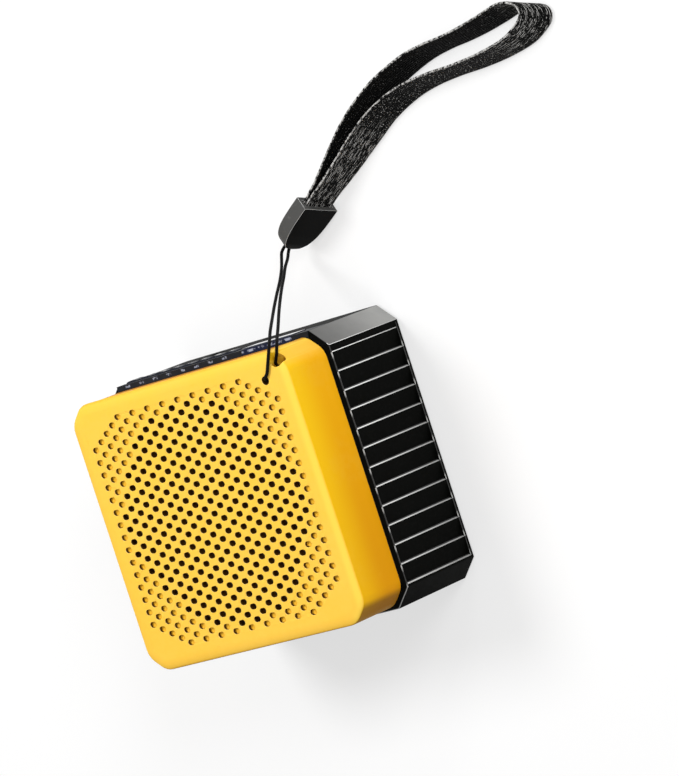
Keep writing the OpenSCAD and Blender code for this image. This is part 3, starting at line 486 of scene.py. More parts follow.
def brushed_metal(name, tone, rough=0.3):
    """Plated steel with fine streaks and slow stains."""
    f = Finish(name)
    stretched = f.node("ShaderNodeMapping", {}, {"Vector": f.place(), "Scale": (1, 1, 14)})
    streak = f.noise(900, 2, 0.6, stretched)
    stain = f.noise(70, 3).ease(0.45, 0.75)
    base = f.mix(stain * 0.48, tone, scaled(tone, 0.62))
    return f.surface(colour=base, rough=rough + streak * 0.16, metal=1.0,
                     normal=f.bump(streak, 0.00001, 0.5))


def painted_steel():
    """Dark paint with peel and chips, on the speaker's basket."""
    f = Finish("painted_steel")
    peel = f.noise(1300, 3)
    chip = f.noise(320, 5, 0.7).ease(0.68, 0.72)
    base = f.mix(chip, (0.035, 0.036, 0.04), (0.16, 0.16, 0.16))
    return f.surface(colour=base, rough=0.38 + peel * 0.15, normal=f.bump(peel, 0.00004, 0.5))


def pressed_paper():
    """Fibrous cone paper with pressed rings."""
    f = Finish("pressed_paper")
    fibre = f.noise(1600, 4, 0.7)
    x, y = f.axes(f.place(), "XY")
    rings = ((x * x + y * y) ** 0.5 * 2400).sin()
    base = f.mix(fibre, (0.010, 0.010, 0.011), (0.03, 0.03, 0.032))
    return f.surface(colour=base, rough=0.62 + fibre * 0.2,
                     normal=f.bump(fibre + rings * 0.15, 0.00007, 0.7))


def ferrite():
    """Gritty sintered magnet."""
    f = Finish("ferrite")
    grit = f.noise(2200, 5, 0.75)
    base = f.mix(grit, (0.022, 0.022, 0.024), (0.06, 0.06, 0.063))
    return f.surface(colour=base, rough=0.55 + grit * 0.25, metal=0.25,
                     normal=f.bump(grit, 0.00006, 0.7))


def wound_copper():
    """Enamelled wire wound round the voice coil."""
    f = Finish("wound_copper")
    wire = 0.0002
    winding = (f.axis(f.place(), "Z") * (TURN / wire)).sin()
    base = f.mix(winding.ease(-1, 1), (0.28, 0.10, 0.03), (0.62, 0.27, 0.09))
    return f.surface(colour=base, rough=0.32, metal=0.85, normal=f.bump(winding, 0.00003, 0.7))


def circuit_board():
    """Green solder mask over square tracks."""
    f = Finish("circuit_board")
    cell = f.node("ShaderNodeTexVoronoi", {"feature": "F1", "distance": "MANHATTAN"},
                  {"Vector": f.place(), "Scale": 260})
    track = cell.ease(0.46, 0.5)
    weave = f.noise(3000, 1)
    base = f.mix(track, (0.004, 0.075, 0.028), (0.012, 0.14, 0.055))
    return f.surface(colour=base, rough=0.34 + weave * 0.1, normal=f.bump(track, 0.00003, 0.5))


def chip_epoxy():
    """Matt black body of the chips and the display module."""
    f = Finish("chip_epoxy")
    grit = f.noise(2600, 3)
    base = f.mix(grit, (0.014, 0.014, 0.015), (0.04, 0.04, 0.042))
    return f.surface(colour=base, rough=0.6 + grit * 0.15, normal=f.bump(grit, 0.00003, 0.5))


def shrink_sleeve():
    """Crinkled blue sleeve of the battery cell."""
    f = Finish("shrink_sleeve")
    crinkle = f.noise(240, 3).ease(0.35, 0.7)
    base = f.mix(crinkle * 0.3, (0.012, 0.10, 0.30), (0.02, 0.17, 0.42))
    return f.surface(colour=base, rough=0.22 + crinkle * 0.12, coat=0.3,
                     normal=f.bump(crinkle, 0.00006, 0.5))


def braided_cord():
    """Diagonal strands that cross over each other, drawn along the cord's own length."""
    f = Finish("braided_cord")
    along, around = f.axes(f.lengthwise(), "XY")
    lead = along * 0.9
    one = ((lead + around) * (TURN / STRAND_STEP)).sin()
    two = ((lead - around) * (TURN / STRAND_STEP)).sin()
    strand = one.most(two)
    base = f.mix(strand.ease(-0.6, 1), (0.0008, 0.0008, 0.0008), (0.006, 0.006, 0.006))
    return f.surface(colour=base, rough=0.46, specular=0.04, normal=f.bump(strand, 0.00007, 0.8))


def ribbed_webbing():
    """Black yarn over the ribs, with broken painted glints along them and a pale thread at each hem."""
    f = Finish("ribbed_webbing")
    glint_and_hem_grey = (0.60, 0.59, 0.57)
    along, across = f.axes(f.lengthwise(), "XY")
    width = sizes().strap_width
    row = (across - HEM) * (sizes().rib_count / (width - 2 * HEM))
    crossing = abs(((along * (1 / WEAVE_STEP) + row.floor() * 0.5) * math.pi).sin())
    rib = abs((row * math.pi).sin())

    # painted glints: long ones near the clasp and past the far end of the loop, and specks between them
    yarns_per_rib = 2.5
    yarn = row * yarns_per_rib
    spot = f.node("ShaderNodeCombineXYZ", inputs={0: along * 300, 1: yarn.floor() * 3.7, 2: 0.0})
    on_yarn = abs((yarn * math.pi).sin()).ease(0.74, 0.97)
    line = f.noise(1.0, 3, 0.65, spot).ease(0.49, 0.58) * on_yarn
    speck = f.noise(2100, 2, 0.6).ease(0.62, 0.70)
    far_run = along.ease(0.095, 0.108) * along.ease(0.128, 0.14, 1.0, 0.0)
    run = along.ease(0.03, 0.05, 1.0, 0.0) + far_run
    # the painted glints fade along the back run of the loop
    highlight_share = along.ease(0.118, 0.15, 1.0, 0.25)
    glint = ((line * run).most(speck * (1 - run * 0.6)) * highlight_share).least(1)

    off = across - width / 2
    hem = (off * off).ease((width / 2 - HEM * 0.9) ** 2, (width / 2 - HEM * 0.3) ** 2)
    pale = glint.most(hem * f.noise(900, 3).ease(0.40, 0.60) * 0.8)
    base = f.mix(pale, colour("webbing_black"), glint_and_hem_grey)
    height = crossing * 0.7 + rib * 0.7 + f.noise(3000, 4, 0.7) * 0.5
    return f.surface(colour=base, rough=0.55, specular=0.05, normal=f.bump(height, 0.00022, 0.9))


def clasp_plastic(name, tone):
    """Moulded plastic with fine grain and scuffs."""
    f = Finish(name)
    grain = f.noise(2600, 3, 0.6)
    scuff = f.noise(300, 4, 0.7).ease(0.6, 0.8)
    base = f.mix(scuff * 0.4, tone, scaled(tone, 2.2, 0.002))
    return f.surface(colour=base, rough=0.42 + scuff * 0.15 + grain * 0.06, specular=0.025,
                     normal=f.bump(grain, 0.00002, 0.5))


def printed_white():
    """White ink of the key marks."""
    f = Finish("printed_white")
    speck = f.noise(4000, 3)
    base = f.mix(speck.ease(0.3, 0.7), (0.70, 0.70, 0.69), (0.86, 0.86, 0.85))
    return f.surface(colour=base, rough=0.5, normal=f.bump(speck, 0.00001, 0.3))


def pale_floor(strength):
    """White floor that shows white where nothing shades it."""
    f = Finish("pale_floor")
    tooth = f.noise(60, 3)
    lit = f.node("ShaderNodeBsdfDiffuse", inputs={
        "Color": (0.92, 0.92, 0.92), "Normal": f.bump(tooth, 0.0002, 0.05)})
    glow = f.node("ShaderNodeEmission", inputs={"Color": (1.0, 1.0, 1.0), "Strength": 1.0})
    return f.show(f.node("ShaderNodeMixShader",
                         inputs={0: f.seen() * strength, 1: lit, 2: glow}))


def studio_world():
    """Dim light all round that the camera and glossy surfaces see as white."""
    f = Finish("studio", bpy.data.worlds)
    dim = f.node("ShaderNodeBackground", inputs={"Strength": 0.35})
    white = f.node("ShaderNodeBackground", inputs={"Strength": 1.0})
    return f.show(f.node("ShaderNodeMixShader", inputs={0: f.seen(), 1: dim, 2: white}),
                  "ShaderNodeOutputWorld")


# ---------------------------------------------------------------- mesh helpers

def new_piece(name, bm, material, body, replaces=()):
    """Makes an object of bm that rides on body and stands for the nodes it replaces."""
    mesh = bpy.data.meshes.new(name)
    bm.to_mesh(mesh)
    bm.free()
    mesh.materials.append(material)
    piece = bpy.data.objects.new(name, mesh)
    bpy.context.scene.collection.objects.link(piece)
    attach(piece, body)
    if replaces:
        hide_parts(*replaces)
    return piece


def weigh_normals(piece):
    """Smooth shading that stays flat on large faces and breaks at creases."""
    mesh = piece.data
    mesh.shade_smooth()
    mesh.set_sharp_from_angle(angle=CREASE)
    modifier = piece.modifiers.new("weighted", "WEIGHTED_NORMAL")
    modifier.keep_sharp = True
    modifier.weight = 100


def sharp_edges(bm, angle):
    """Edges between two faces that meet at more than angle."""
    return [e for e in bm.edges if len(e.link_faces) == 2 and e.calc_face_angle(0) > angle]


def roomy(edge, need):
    """Whether every edge at both ends is longer than need, so a round there can't collapse."""
    return all(e.calc_length() > need for v in edge.verts for e in v.link_edges)


def bevel(bm, edges, width, segments, slot=-1):
    """Rounds edges; slot is the new faces' material, or -1 for their neighbours'."""
    bmesh.ops.bevel(bm, geom=edges, offset=width, offset_type="OFFSET", segments=segments,
                    profile=0.6, affect="EDGES", clamp_overlap=True, material=slot)


def drop_folds(bm):
    """Removes faces that lie back to back on the same corners, which a tight round can leave."""
    twins = {}
    for face in bm.faces:
        twins.setdefault(frozenset(face.verts), []).append(face)
    folded = [face for faces in twins.values() if len(faces) > 1 for face in faces]
    bmesh.ops.delete(bm, geom=folded, context="FACES")


def rounded_copy(node, piece_name, body, materials, width, chosen=None, segments=2,
                 prepare=None, edge_slot=-1):
    """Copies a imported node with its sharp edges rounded; chosen(edge) may pick the edges.

    prepare(bm) may colour faces by slot and round some edges first.
    """
    bm = bmesh.new()
    bm.from_mesh(frame["nodes"][node].data)
    bmesh.ops.remove_doubles(bm, verts=bm.verts, dist=WELD)
    bmesh.ops.dissolve_limit(bm, angle_limit=FLAT, verts=bm.verts, edges=bm.edges)
    if prepare:
        prepare(bm)
    picked = [e for e in sharp_edges(bm, SHARP) if chosen is None or chosen(e)]
    bevel(bm, picked, width, segments, edge_slot)
    bmesh.ops.dissolve_degenerate(bm, dist=SLIVER, edges=bm.edges)
    bmesh.ops.triangulate(bm, faces=[f for f in bm.faces if len(f.verts) > 4])
    drop_folds(bm)
    piece = new_piece(piece_name, bm, materials[0], body, replaces=(node,))
    for material in materials[1:]:
        piece.data.materials.append(material)
    weigh_normals(piece)
    return piece


def dress(node, material):
    """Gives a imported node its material."""
    thing = frame["nodes"][node]
    thing.data.materials.clear()
    thing.data.materials.append(material)


def spline(points, steps):
    """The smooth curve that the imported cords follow: Catmull-Rom through the points."""
    p = [Vector(q) for q in points]
    out = []
    for i in range(len(p) - 1):
        a, b, c, d = p[max(i - 1, 0)], p[i], p[i + 1], p[min(i + 2, len(p) - 1)]
        for s in range(steps):
            t = s / steps
            out.append(0.5 * (2 * b + (c - a) * t + (2 * a - 5 * b + 4 * c - d) * t * t
                              + (3 * b - a - 3 * c + d) * t ** 3))
    out.append(p[-1])
    return out


def tangents(path):
    """The way the path runs at each of its points."""
    last = len(path) - 1
    return [(path[min(i + 1, last)] - path[max(i - 1, 0)]).normalized() for i in range(last + 1)]


def sweep(rings, lengths, girth):
    """A mesh through closed rings of equal point counts, with UVs in metres: along, around."""
    bm = bmesh.new()
    layer = bm.loops.layers.uv.new("run")
    grid = [[bm.verts.new(q) for q in ring] for ring in rings]
    n = len(rings[0])
    for i in range(len(rings) - 1):
        for j in range(n):
            k = (j + 1) % n
            face = bm.faces.new((grid[i][j], grid[i][k], grid[i + 1][k], grid[i + 1][j]))
            face.smooth = True
            for loop, (a, b) in zip(face.loops, ((i, j), (i, j + 1), (i + 1, j + 1), (i + 1, j))):
                loop[layer].uv = (lengths[a], girth[b])
    for end, ring in ((0, list(reversed(grid[0]))), (-1, grid[-1])):
        face = bm.faces.new(ring)
        for loop in face.loops:
            loop[layer].uv = (lengths[end], 0.0)
    bmesh.ops.recalc_face_normals(bm, faces=bm.faces)
    return bm


def thinned(path, step):
    """Every step-th point and the last one."""
    last = len(path) - 1
    return [tuple(path[i]) for i in range(last) if i % step == 0] + [tuple(path[last])]


def run_lengths(path):
    """How far along the path each of its points lies."""
    out = [0.0]
    for a, b in zip(path, path[1:]):
        out.append(out[-1] + (b - a).length)
    return out


# ---------------------------------------------------------------- the lanyard's route, in millimetres

CORD_OUT = [
    (40.6, 39.15, 57.5), (39.2, 38.4, 57.5), (38.4, 37.95, 58.6), (38.2, 37.8, 61), (38.3, 37.9, 63.4),
    (39, 38.7, 64.62), (40.3, 39.9, 64.68), (41.6, 42.2, 64.7), (42.9, 44.7, 64.7), (43.7, 46.5, 64.5),
    (43.7, 48.3, 63.3), (42.4, 50.3, 60.3), (39.7, 52.7, 55.2), (35.4, 55.8, 47), (31.8, 59.2, 39.4),
    (28.4, 62.8, 31.6), (25, 66.4, 23.6), (22, 69.8, 17), (20.1, 72.6, 13), (19.6, 74.9, 11.1),
]
CORD_TURN = [
    (-1, 1.3, 0), (1, 1.4, 0), (3, 2, 0), (5, 2.3, 0), (6.7, 1.5, 0), (7.2, 0, 0),
    (6.7, -1.5, 0), (5, -2.3, 0), (3, -2, 0), (1, -1.4, 0), (-1, -1.3, 0),
]
CORD_BACK = [
    (20.6, 74.2, 8.9), (21.6, 72.4, 11.6), (23.4, 70.2, 16.4), (26.3, 67.2, 22.6), (29.8, 63.9, 30.1),
    (33.5, 60.5, 37.6), (37.2, 57.1, 44.8), (41.4, 53.1, 52.8), (44.8, 50.2, 59.2), (46.1, 48.4, 62),
    (46.1, 46.9, 62.9), (45.2, 45.4, 62.6), (43.7, 43.8, 61.8), (42.4, 42.3, 61.2), (42.1, 41.3, 60.3),
    (42.5, 40.6, 59.3), (42.6, 40.4, 58.4), (42.2, 40.1, 57.7), (41.4, 39.6, 57.5), (40.9, 39.3, 57.5),
]
STRAP_EDGE = [
    (44, 88.1, 1.6), (49.4, 91.2, 0.9), (55, 94.4, 0.5), (60.8, 97.8, 0.4), (67.5, 101.7, 0.4),
    (75.6, 106.3, 0.4), (85.6, 110.1, 0.4), (95, 112.1, 0.4), (105.5, 112.9, 0.4), (116, 113, 0.4),
    (126.7, 113.7, 0.4), (136.8, 115.4, 0.4), (142.8, 117.9, 0.4), (146.6, 120.8, 0.4),
    (147.2, 124, 0.4), (144.4, 126.2, 0.4), (138.8, 126.8, 0.4), (129.8, 125, 0.4),
    (121.4, 123.6, 0.4), (113.9, 122.8, 0.4), (106.2, 122.3, 0.4), (98.2, 121.2, 0.4),
    (90.1, 119, 0.4), (81.8, 116, 0.4), (75.4, 112.8, 0.4), (69, 109, 0.4), (62, 104, 0.4),
    (55.4, 99.2, 0.5), (49, 94.2, 0.9), (43.4, 89.8, 1.6),
]
STRAP_LEAN = Vector((-0.5, 0.3, 0.81))        # way across the webbing where it lies free
STRAP_SETTLE = 24.0                           # run over which it turns from the clasp to that
STRAP_LAYER = 0.65                            # each end's distance from the clasp's mid-plane
STRAP_ENDS = (-5.0, -2.5, 0.5)                # points of each end, from the clasp's mouth
CLASP_TAIL = Vector((21.7, 76.5, 9.2))
CLASP_TURN = (33, 73, -3)                     # degrees about Z, X and Z
CLASP_LENGTH = 19.6
CLASP_AXES = (Matrix.Rotation(math.radians(CLASP_TURN[0]), 3, "Z")
              @ Matrix.Rotation(math.radians(CLASP_TURN[1]), 3, "X")
              @ Matrix.Rotation(math.radians(CLASP_TURN[2]), 3, "Z"))


def clasp_point(local):
    """A point of the clasp's own axes (tail to mouth, across, through), in millimetres."""
    return CLASP_TAIL + CLASP_AXES @ Vector(local)


def cord_path(steps):
    """The cord's middle line in metres: out of the hole, round the clasp's bar and back."""
    route = [Vector(p) for p in CORD_OUT]
    route += [clasp_point(p) for p in CORD_TURN]
    route += [Vector(p) for p in CORD_BACK]
    return [p * MM for p in spline(route, steps)]


def strap_rows(steps):
    """Lower edge, width direction and thickness direction all round the loop."""
    low = -sizes().strap_width / MM / 2
    mouth = clasp_point((CLASP_LENGTH, low, 0))
    route = [clasp_point((CLASP_LENGTH + q, low, STRAP_LAYER)) for q in STRAP_ENDS]
    route += [Vector(p) for p in STRAP_EDGE]
    route += [clasp_point((CLASP_LENGTH + q, low, -STRAP_LAYER)) for q in reversed(STRAP_ENDS)]
    edge = spline(route, steps)
    rows = []
    for point, along in zip(edge, tangents(edge)):
        settled = min(1.0, max(0.0, 1.3 - (point - mouth).length / STRAP_SETTLE))
        lean = (settled * CLASP_AXES.col[1] + (1 - settled) * STRAP_LEAN).normalized()
        # half of the lean's share along the run is taken out
        up = (lean - 0.5 * lean.dot(along) * along).normalized()
        rows.append((point * MM, up, along.cross(up).normalized()))
    return rows


# ---------------------------------------------------------------- operators

class MEGAPHONE_OT_camera(bpy.types.Operator):
    """Place the long-lens camera that looks down on the grille and the right side"""
    bl_idname = "megaphone.camera"
    bl_label = "Camera"

    def execute(self, context):
        place = Vector((1020.8, 104.6, 1284.2)) * MM
        right = Vector((0.7582, -0.3099, -0.5737))
        up = Vector((0.2158, 0.9495, -0.2277))
        lens = bpy.data.cameras.new("camera")
        lens.lens = 222.5
        lens.sensor_width = 36
        lens.clip_start = 0.05
        lens.clip_end = 20
        camera = bpy.data.objects.new("camera", lens)
        context.scene.collection.objects.link(camera)
        turn = Matrix((right, up, right.cross(up))).transposed().to_4x4()
        camera.matrix_world = Matrix.Translation(place) @ turn
        context.scene.camera = camera
        return {"FINISHED"}


class MEGAPHONE_OT_cord(bpy.types.Operator):
    """Lay the braided cord through the front hole, the clasp and the corner scoop"""
    bl_idname = "megaphone.cord"
    bl_label = "Lanyard Cord"

    def execute(self, context):
        path = cord_path(6)
        radius = sizes().cord_diameter / 2
        sides = 16
        angles = [TURN * k / sides for k in range(sides)]
        normal = Vector((0.3, 0.9, 0.2))
        rings = []
        for point, along in zip(path, tangents(path)):
            normal = (normal - normal.dot(along) * along).normalized()
            other = along.cross(normal)
            rings.append([point + radius * (math.cos(a) * normal + math.sin(a) * other)
                          for a in angles])
        lengths = run_lengths(path)
        girth = [k / sides * STRANDS_ROUND * STRAND_STEP for k in range(sides + 1)]
        piece = new_piece("braided_cord", sweep(rings, lengths, girth), braided_cord(),
                          "root", replaces=("lanyard_cord",))
        thinned(path, 3)
        return {"FINISHED"}


class MEGAPHONE_OT_clasp(bpy.types.Operator):
    """Mould the U-shaped clasp that joins the cord to the webbing"""
    bl_idname = "megaphone.clasp"
    bl_label = "Clasp"

    def execute(self, context):
        through = CLASP_AXES.col[2]

        def prepare(bm):
            """The walls round the clasp are paler than its two flat faces, as painted light."""
            bm.normal_update()
            for face in bm.faces:
                face.material_index = int(abs(face.normal.dot(through)) < 0.5)

        # painted light on the walls and painted highlights on the rounded edges: paler copies of the
        # clasp's black
        looks = (("clasp_black", colour("clasp_grey")), ("clasp_side", (0.07, 0.07, 0.068)),
                 ("clasp_edge", (0.5, 0.5, 0.49)))
        rounded_copy("cord_clasp", "moulded_clasp", "root",
                     [clasp_plastic(name, tone) for name, tone in looks],
                     width=0.00042, segments=3, prepare=prepare, edge_slot=2)
        return {"FINISHED"}


class MEGAPHONE_OT_strap(bpy.types.Operator):
    """Weave the wrist strap's ribbed webbing round its loop"""
    bl_idname = "megaphone.strap"
    bl_label = "Wrist Strap"

    def execute(self, context):
        width, thick = sizes().strap_width, sizes().strap_thickness
        rows = strap_rows(8)
        per_rib = 4
        count = sizes().rib_count * per_rib
        shoulder, nose = 0.38 * thick, 0.14 * thick  # half heights of the rounded hem
        profile = []
        for side in (1, -1):
            for k in range(count + 1)[::side]:
                across = HEM + (width - 2 * HEM) * k / count
                groove = RIB_DEPTH * (1 - abs(math.sin(math.pi * k / per_rib)))
                profile.append((across, side * (thick / 2 - groove)))
            end = width if side == 1 else 0.0
            inner = end - side * HEM * 0.4
            profile += [(inner, side * shoulder), (end, side * nose),
                        (end, -side * nose), (inner, -side * shoulder)]
        rings = [[point + across * up + lift * out for across, lift in profile]
                 for point, up, out in rows]
        centre = [point + up * width / 2 for point, up, out in rows]
        girth = [p[0] for p in profile] + [profile[0][0]]
        lengths = run_lengths(centre)
        piece = new_piece("ribbed_strap", sweep(rings, lengths, girth), ribbed_webbing(),
                          "root", replaces=("wrist_strap",))
        thinned(centre, 4)
        return {"FINISHED"}


class MEGAPHONE_OT_front(bpy.types.Operator):
    """Round the rims of the yellow shell's grille holes and lanyard scoop"""
    bl_idname = "megaphone.front"
    bl_label = "Front Shell"

    def execute(self, context):
        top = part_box("front_housing")[1][2]

        def on_face(edge):
            return all(v.co.z > top - ON_FACE for v in edge.verts)

        rounded_copy("front_housing", "yellow_front_shell", "root",
                     [yellow_plastic()], sizes().rim_round, chosen=on_face)
        return {"FINISHED"}


BLACK, CORNER_REFLECTION, LEDGE_HIGHLIGHT, EDGE_HIGHLIGHT = range(4)          # the rear shell's material slots


class MEGAPHONE_OT_rear(bpy.types.Operator):
    """Round the black shell's edges, give its upper corners a painted reflection and its ledges and
    pocket ends painted highlights, in a satin finish
    """
    bl_idname = "megaphone.rear"
    bl_label = "Rear Shell"

    def execute(self, context):
        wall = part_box("rear_housing")[1][0]
        edge_round = sizes().edge_round
        corner_zone, ledge_zone, wall_skin = wall - 0.008, wall - 0.0016, wall - 0.0003
        corner_area, pocket_width, back_rim = 5e-5, 0.002, 0.001

        def slot_of(face):
            """The upper corner faces carry a painted reflection and the slats' upper ledges a painted
            highlight.
            """
            n, at = face.normal, face.calc_center_median()
            upright, big = abs(n.z) < 0.1, face.calc_area() > corner_area
            at_corner = max(abs(at.x), abs(at.y)) > corner_zone
            if upright and abs(n.x) > 0.6 and n.y > 0.6 and at_corner and big:
                return CORNER_REFLECTION
            if upright and n.y > 0.75 and abs(n.x) > 0.3 and abs(at.x) > ledge_zone:
                return LEDGE_HIGHLIGHT
            return BLACK

        def ends_pocket(edge):
            """Whether the edge closes a louvre pocket at the seam or at the back."""
            a, b = (v.co for v in edge.verts)
            on_wall = min(abs(a.x), abs(b.x)) > wall_skin
            level = abs(a.z - b.z) < 0.0001 and abs(a.y - b.y) > pocket_width
            near, far = POCKET_ENDS
            return on_wall and level and a.z > back_rim and not near < a.z < far

        def prepare(bm):
            """Sorts the faces into slots, then rounds the rims of the painted reflection faces and the
            pockets' ends.
            """
            bm.normal_update()
            for face in bm.faces:
                face.material_index = slot_of(face)
            rims = [e for e in sharp_edges(bm, math.radians(20))
                    if CORNER_REFLECTION in [f.material_index for f in e.link_faces]]
            bevel(bm, rims, edge_round * 1.5, 2, LEDGE_HIGHLIGHT)
            ends = [e for e in sharp_edges(bm, CREASE) if ends_pocket(e)]
            bevel(bm, ends, edge_round * 1.6, 2, EDGE_HIGHLIGHT)

        satin = painted_corner_reflection("satin_corner", colour("reflection_grey"), 0.35)
        rounded_copy("rear_housing", "black_rear_shell", "root",
                     [black_plastic("rear_black", RIM_LINE), satin, pale_ledge(wall),
                      rubbed_edge(wall)],
                     edge_round, chosen=lambda e: roomy(e, 2.2 * edge_round), prepare=prepare)
        return {"FINISHED"}


class MEGAPHONE_OT_dress(bpy.types.Operator):
    """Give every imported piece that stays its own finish"""
    bl_idname = "megaphone.dress"
    bl_label = "Finishes"

    def execute(self, context):
        steel = brushed_metal("zinc_steel", (0.52, 0.52, 0.53))
        bright = brushed_metal("bright_steel", (0.72, 0.72, 0.73), rough=0.2)
        foam = matt_rubber("foam_rubber", (0.035, 0.035, 0.035))
        paper = pressed_paper()
        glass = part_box("display_window")
        strip = strip_plastic((glass[0][0], glass[1][0]))
        window = window_gloss((0.008, 0.012, 0.03))
        key = key_plastic(colour("key_grey"))
        board = circuit_board()
        epoxy = chip_epoxy()
        inner = black_plastic("black_plastic")
        finishes = {
            "dust_cloth": woven_cloth("speaker_cloth", (0.15, 0.11, 0.075), 0.0006),
            "foam_ring": foam, "speaker_surround": foam, "rest_pads": foam,
            "seam_seal": matt_rubber("seal_rubber", (0.012, 0.012, 0.012)),
            "speaker_basket": painted_steel(), "speaker_cone": paper, "dust_cap": paper,
            "speaker_spider": woven_cloth("spider_cloth", (0.5, 0.33, 0.1), 0.0009),
            "voice_coil": wound_copper(), "speaker_top_plate": steel, "speaker_yoke": steel,
            "speaker_magnet": ferrite(), "speaker_screws": steel, "housing_screws": steel,
            "board_screws": steel, "control_strip": strip, "display_window": window,
            "display_module": epoxy, "board_parts": epoxy, "key_board": board, "main_board": board,
            "dome_switches": bright, "microphone": bright, "charging_socket": bright,
            "microphone_jack": inner, "battery_cradle": inner, "battery_cell": shrink_sleeve(),
        }
        for node in frame["nodes"]:
            if node.startswith("key_") and node != "key_board":
                finishes[node] = key
        for node, material in finishes.items():
            dress(node, material)
        return {"FINISHED"}


def arc(radius, start=0, turn=360, steps=20, at=(0, 0)):
    """Points along an arc, in millimetres and degrees."""
    angles = [math.radians(start + turn * k / steps) for k in range(steps + 1)]
    return [(at[0] + radius * math.cos(a), at[1] + radius * math.sin(a)) for a in angles]


def band(radius, width, start, turn, steps=12, at=(0, 0)):
    """The outline of a bent bar, which stays open where its ends meet."""
    return (arc(radius + width, start, turn, steps, at)
            + arc(radius, start, turn, steps, at)[::-1])


def bar(x0, y0, x1, y1):
    """The outline of an upright rectangle."""
    return [(x0, y0), (x1, y0), (x1, y1), (x0, y1)]


def cross(reach, half):
    """The outline of a plus sign that reaches out by reach, in arms twice half wide."""
    return [(x * c - y * s, x * s + y * c) for c, s in ((1, 0), (0, 1), (-1, 0), (0, -1))
            for x, y in ((reach, -half), (reach, half), (half, half))]


def key_marks():
    """Plain marks by key node: lists of outlines in millimetres, seen from outside the key."""
    arrow = [(-0.7, -0.8), (0.8, 0), (-0.7, 0.8)]
    flip = [(-x, y) for x, y in reversed(arrow)]
    lamp = (0, -0.4)
    return {
        "key_power": [band(0.75, 0.28, 125, 290), bar(-0.14, 0.2, 0.14, 1.15)],
        "key_play": [arrow, bar(1.0, -0.8, 1.28, 0.8)],
        "key_previous": [flip, bar(-1.25, -0.8, -0.95, 0.8)],
        "key_next": [arrow, bar(0.95, -0.8, 1.25, 0.8), bar(1.5, -0.8, 1.7, 0.8)],
        "key_volume_down": [bar(-0.95, -0.16, 0.95, 0.16)],
        "key_volume_up": [cross(0.95, 0.16)],
        "key_record": [arc(0.62)[:-1], band(0.95, 0.22, 0, 359, 30)],
        "key_siren": [bar(-0.75, -0.8, 0.75, -0.45), arc(0.6, 0, 180, 12, lamp),
                      band(0.9, 0.2, 30, 50, 5, lamp), band(0.9, 0.2, 100, 50, 5, lamp)],
    }


class MEGAPHONE_OT_marks(bpy.types.Operator):
    """Print the plain white marks on the crowned key caps"""
    bl_idname = "megaphone.marks"
    bl_label = "Key Marks"

    def execute(self, context):
        white = printed_white()
        packed_bodies = frame["record"]["behaviour"]["bodies"]
        body_of = {node: body for body, nodes in packed_bodies.items() for node in nodes}
        for node, outlines in key_marks().items():
            low, high = (Vector(c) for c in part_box(node))
            middle_x = (low.x + high.x) / 2
            middle_z = (low.z + high.z) / 2
            bm = bmesh.new()
            for outline in outlines:
                under, over = [], []
                for lift, row in zip(INK, (under, over)):
                    for u, v in outline:
                        x = -u * MM
                        drop = KEY_CROWN - math.sqrt(KEY_CROWN ** 2 - x * x)
                        row.append(bm.verts.new((middle_x + x, high.y - drop + lift,
                                                 middle_z + v * MM)))
                bm.faces.new(over)
                bm.faces.new(reversed(under))
                for j in range(len(outline)):
                    k = (j + 1) % len(outline)
                    bm.faces.new((under[j], under[k], over[k], over[j]))
            bmesh.ops.recalc_face_normals(bm, faces=bm.faces)
            bmesh.ops.triangulate(bm, faces=bm.faces)
            new_piece(node.replace("key_", "mark_"), bm, white, body_of[node])
        return {"FINISHED"}


FLOOR_HALF = 4.0
FLOOR_DROP = -0.0002                          # keeps the floor clear of the back face
LIGHTS = (                                    # name, place, height aimed at, width, watts
    ("key_light", (-0.35, 0.6, 1.15), 0.04, 0.5, 11),
    ("side_light", (0.85, 0.5, 0.8), 0.03, 0.5, 4.8),
    ("rim_light", (0.6, 1.1, 0.3), 0.03, 0.4, 4),
    ("top_light", (0.1, -0.3, 1.4), 0.04, 0.8, 3),
)


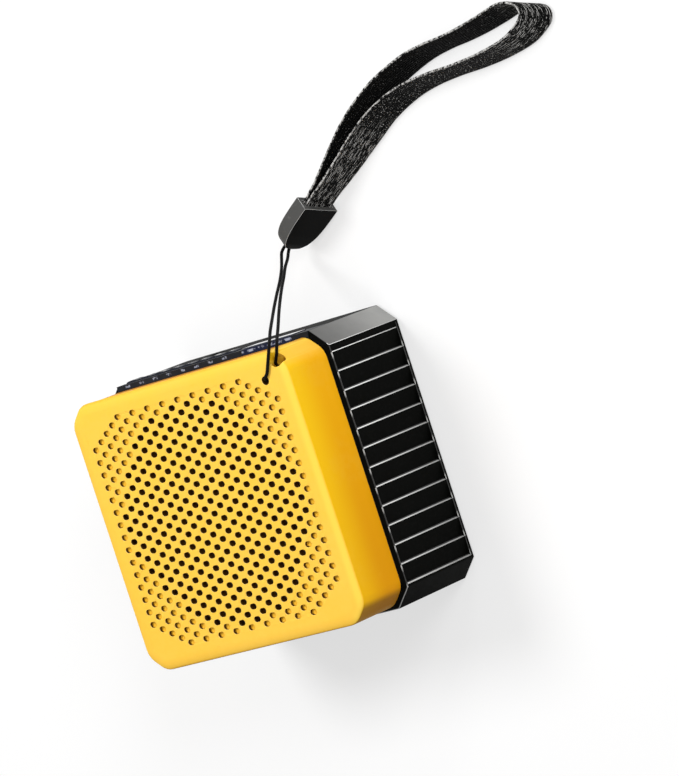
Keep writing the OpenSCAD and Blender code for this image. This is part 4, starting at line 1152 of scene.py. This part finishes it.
class MEGAPHONE_OT_stage(bpy.types.Operator):
    """Lay the pale floor and set soft studio lights round the megaphone"""
    bl_idname = "megaphone.stage"
    bl_label = "Stage"

    def execute(self, context):
        scene = context.scene
        bm = bmesh.new()
        bmesh.ops.create_grid(bm, x_segments=2, y_segments=2, size=FLOOR_HALF)
        mesh = bpy.data.meshes.new("floor")
        bm.to_mesh(mesh)
        bm.free()
        mesh.materials.append(pale_floor(0.6))
        floor = bpy.data.objects.new("floor", mesh)
        floor.location.z = FLOOR_DROP
        scene.collection.objects.link(floor)

        for name, place, target_z, size, power in LIGHTS:
            lamp = bpy.data.lights.new(name, "AREA")
            lamp.shape = "DISK"
            lamp.size = size
            lamp.energy = power
            holder = bpy.data.objects.new(name, lamp)
            holder.location = place
            aim = Vector((0, 0, target_z)) - Vector(place)
            holder.rotation_euler = aim.to_track_quat("-Z", "Y").to_euler()
            scene.collection.objects.link(holder)

        scene.world = studio_world()
        scene.view_settings.view_transform = "Standard"
        return {"FINISHED"}


STEPS = (MEGAPHONE_OT_camera, MEGAPHONE_OT_clasp, MEGAPHONE_OT_cord, MEGAPHONE_OT_strap,
         MEGAPHONE_OT_front, MEGAPHONE_OT_rear, MEGAPHONE_OT_dress, MEGAPHONE_OT_marks,
         MEGAPHONE_OT_stage)


class MEGAPHONE_PT_panel(bpy.types.Panel):
    """Lists the steps that dress the megaphone"""
    bl_idname = "MEGAPHONE_PT_panel"
    bl_label = "Pocket Megaphone"
    bl_space_type = "VIEW_3D"
    bl_region_type = "UI"
    bl_category = "Megaphone"

    def draw(self, context):
        layout = self.layout
        for group in (context.scene.megaphone_colours, context.scene.megaphone_sizes):
            for name in group.__annotations__:
                layout.prop(group, name)
        for step in STEPS:
            layout.operator(step.bl_idname, text=step.bl_label)


CLASSES = (MegaphoneColours, MegaphoneSizes, *STEPS, MEGAPHONE_PT_panel)


def register():
    for cls in CLASSES:
        bpy.utils.register_class(cls)
    bpy.types.Scene.megaphone_colours = bpy.props.PointerProperty(type=MegaphoneColours)
    bpy.types.Scene.megaphone_sizes = bpy.props.PointerProperty(type=MegaphoneSizes)


def unregister():
    del bpy.types.Scene.megaphone_sizes
    del bpy.types.Scene.megaphone_colours
    for cls in reversed(CLASSES):
        bpy.utils.unregister_class(cls)


def main():
    register()
    for step in STEPS:
        group, name = step.bl_idname.split(".")
        getattr(getattr(bpy.ops, group), name)()


if __name__ == "__main__":
    main()
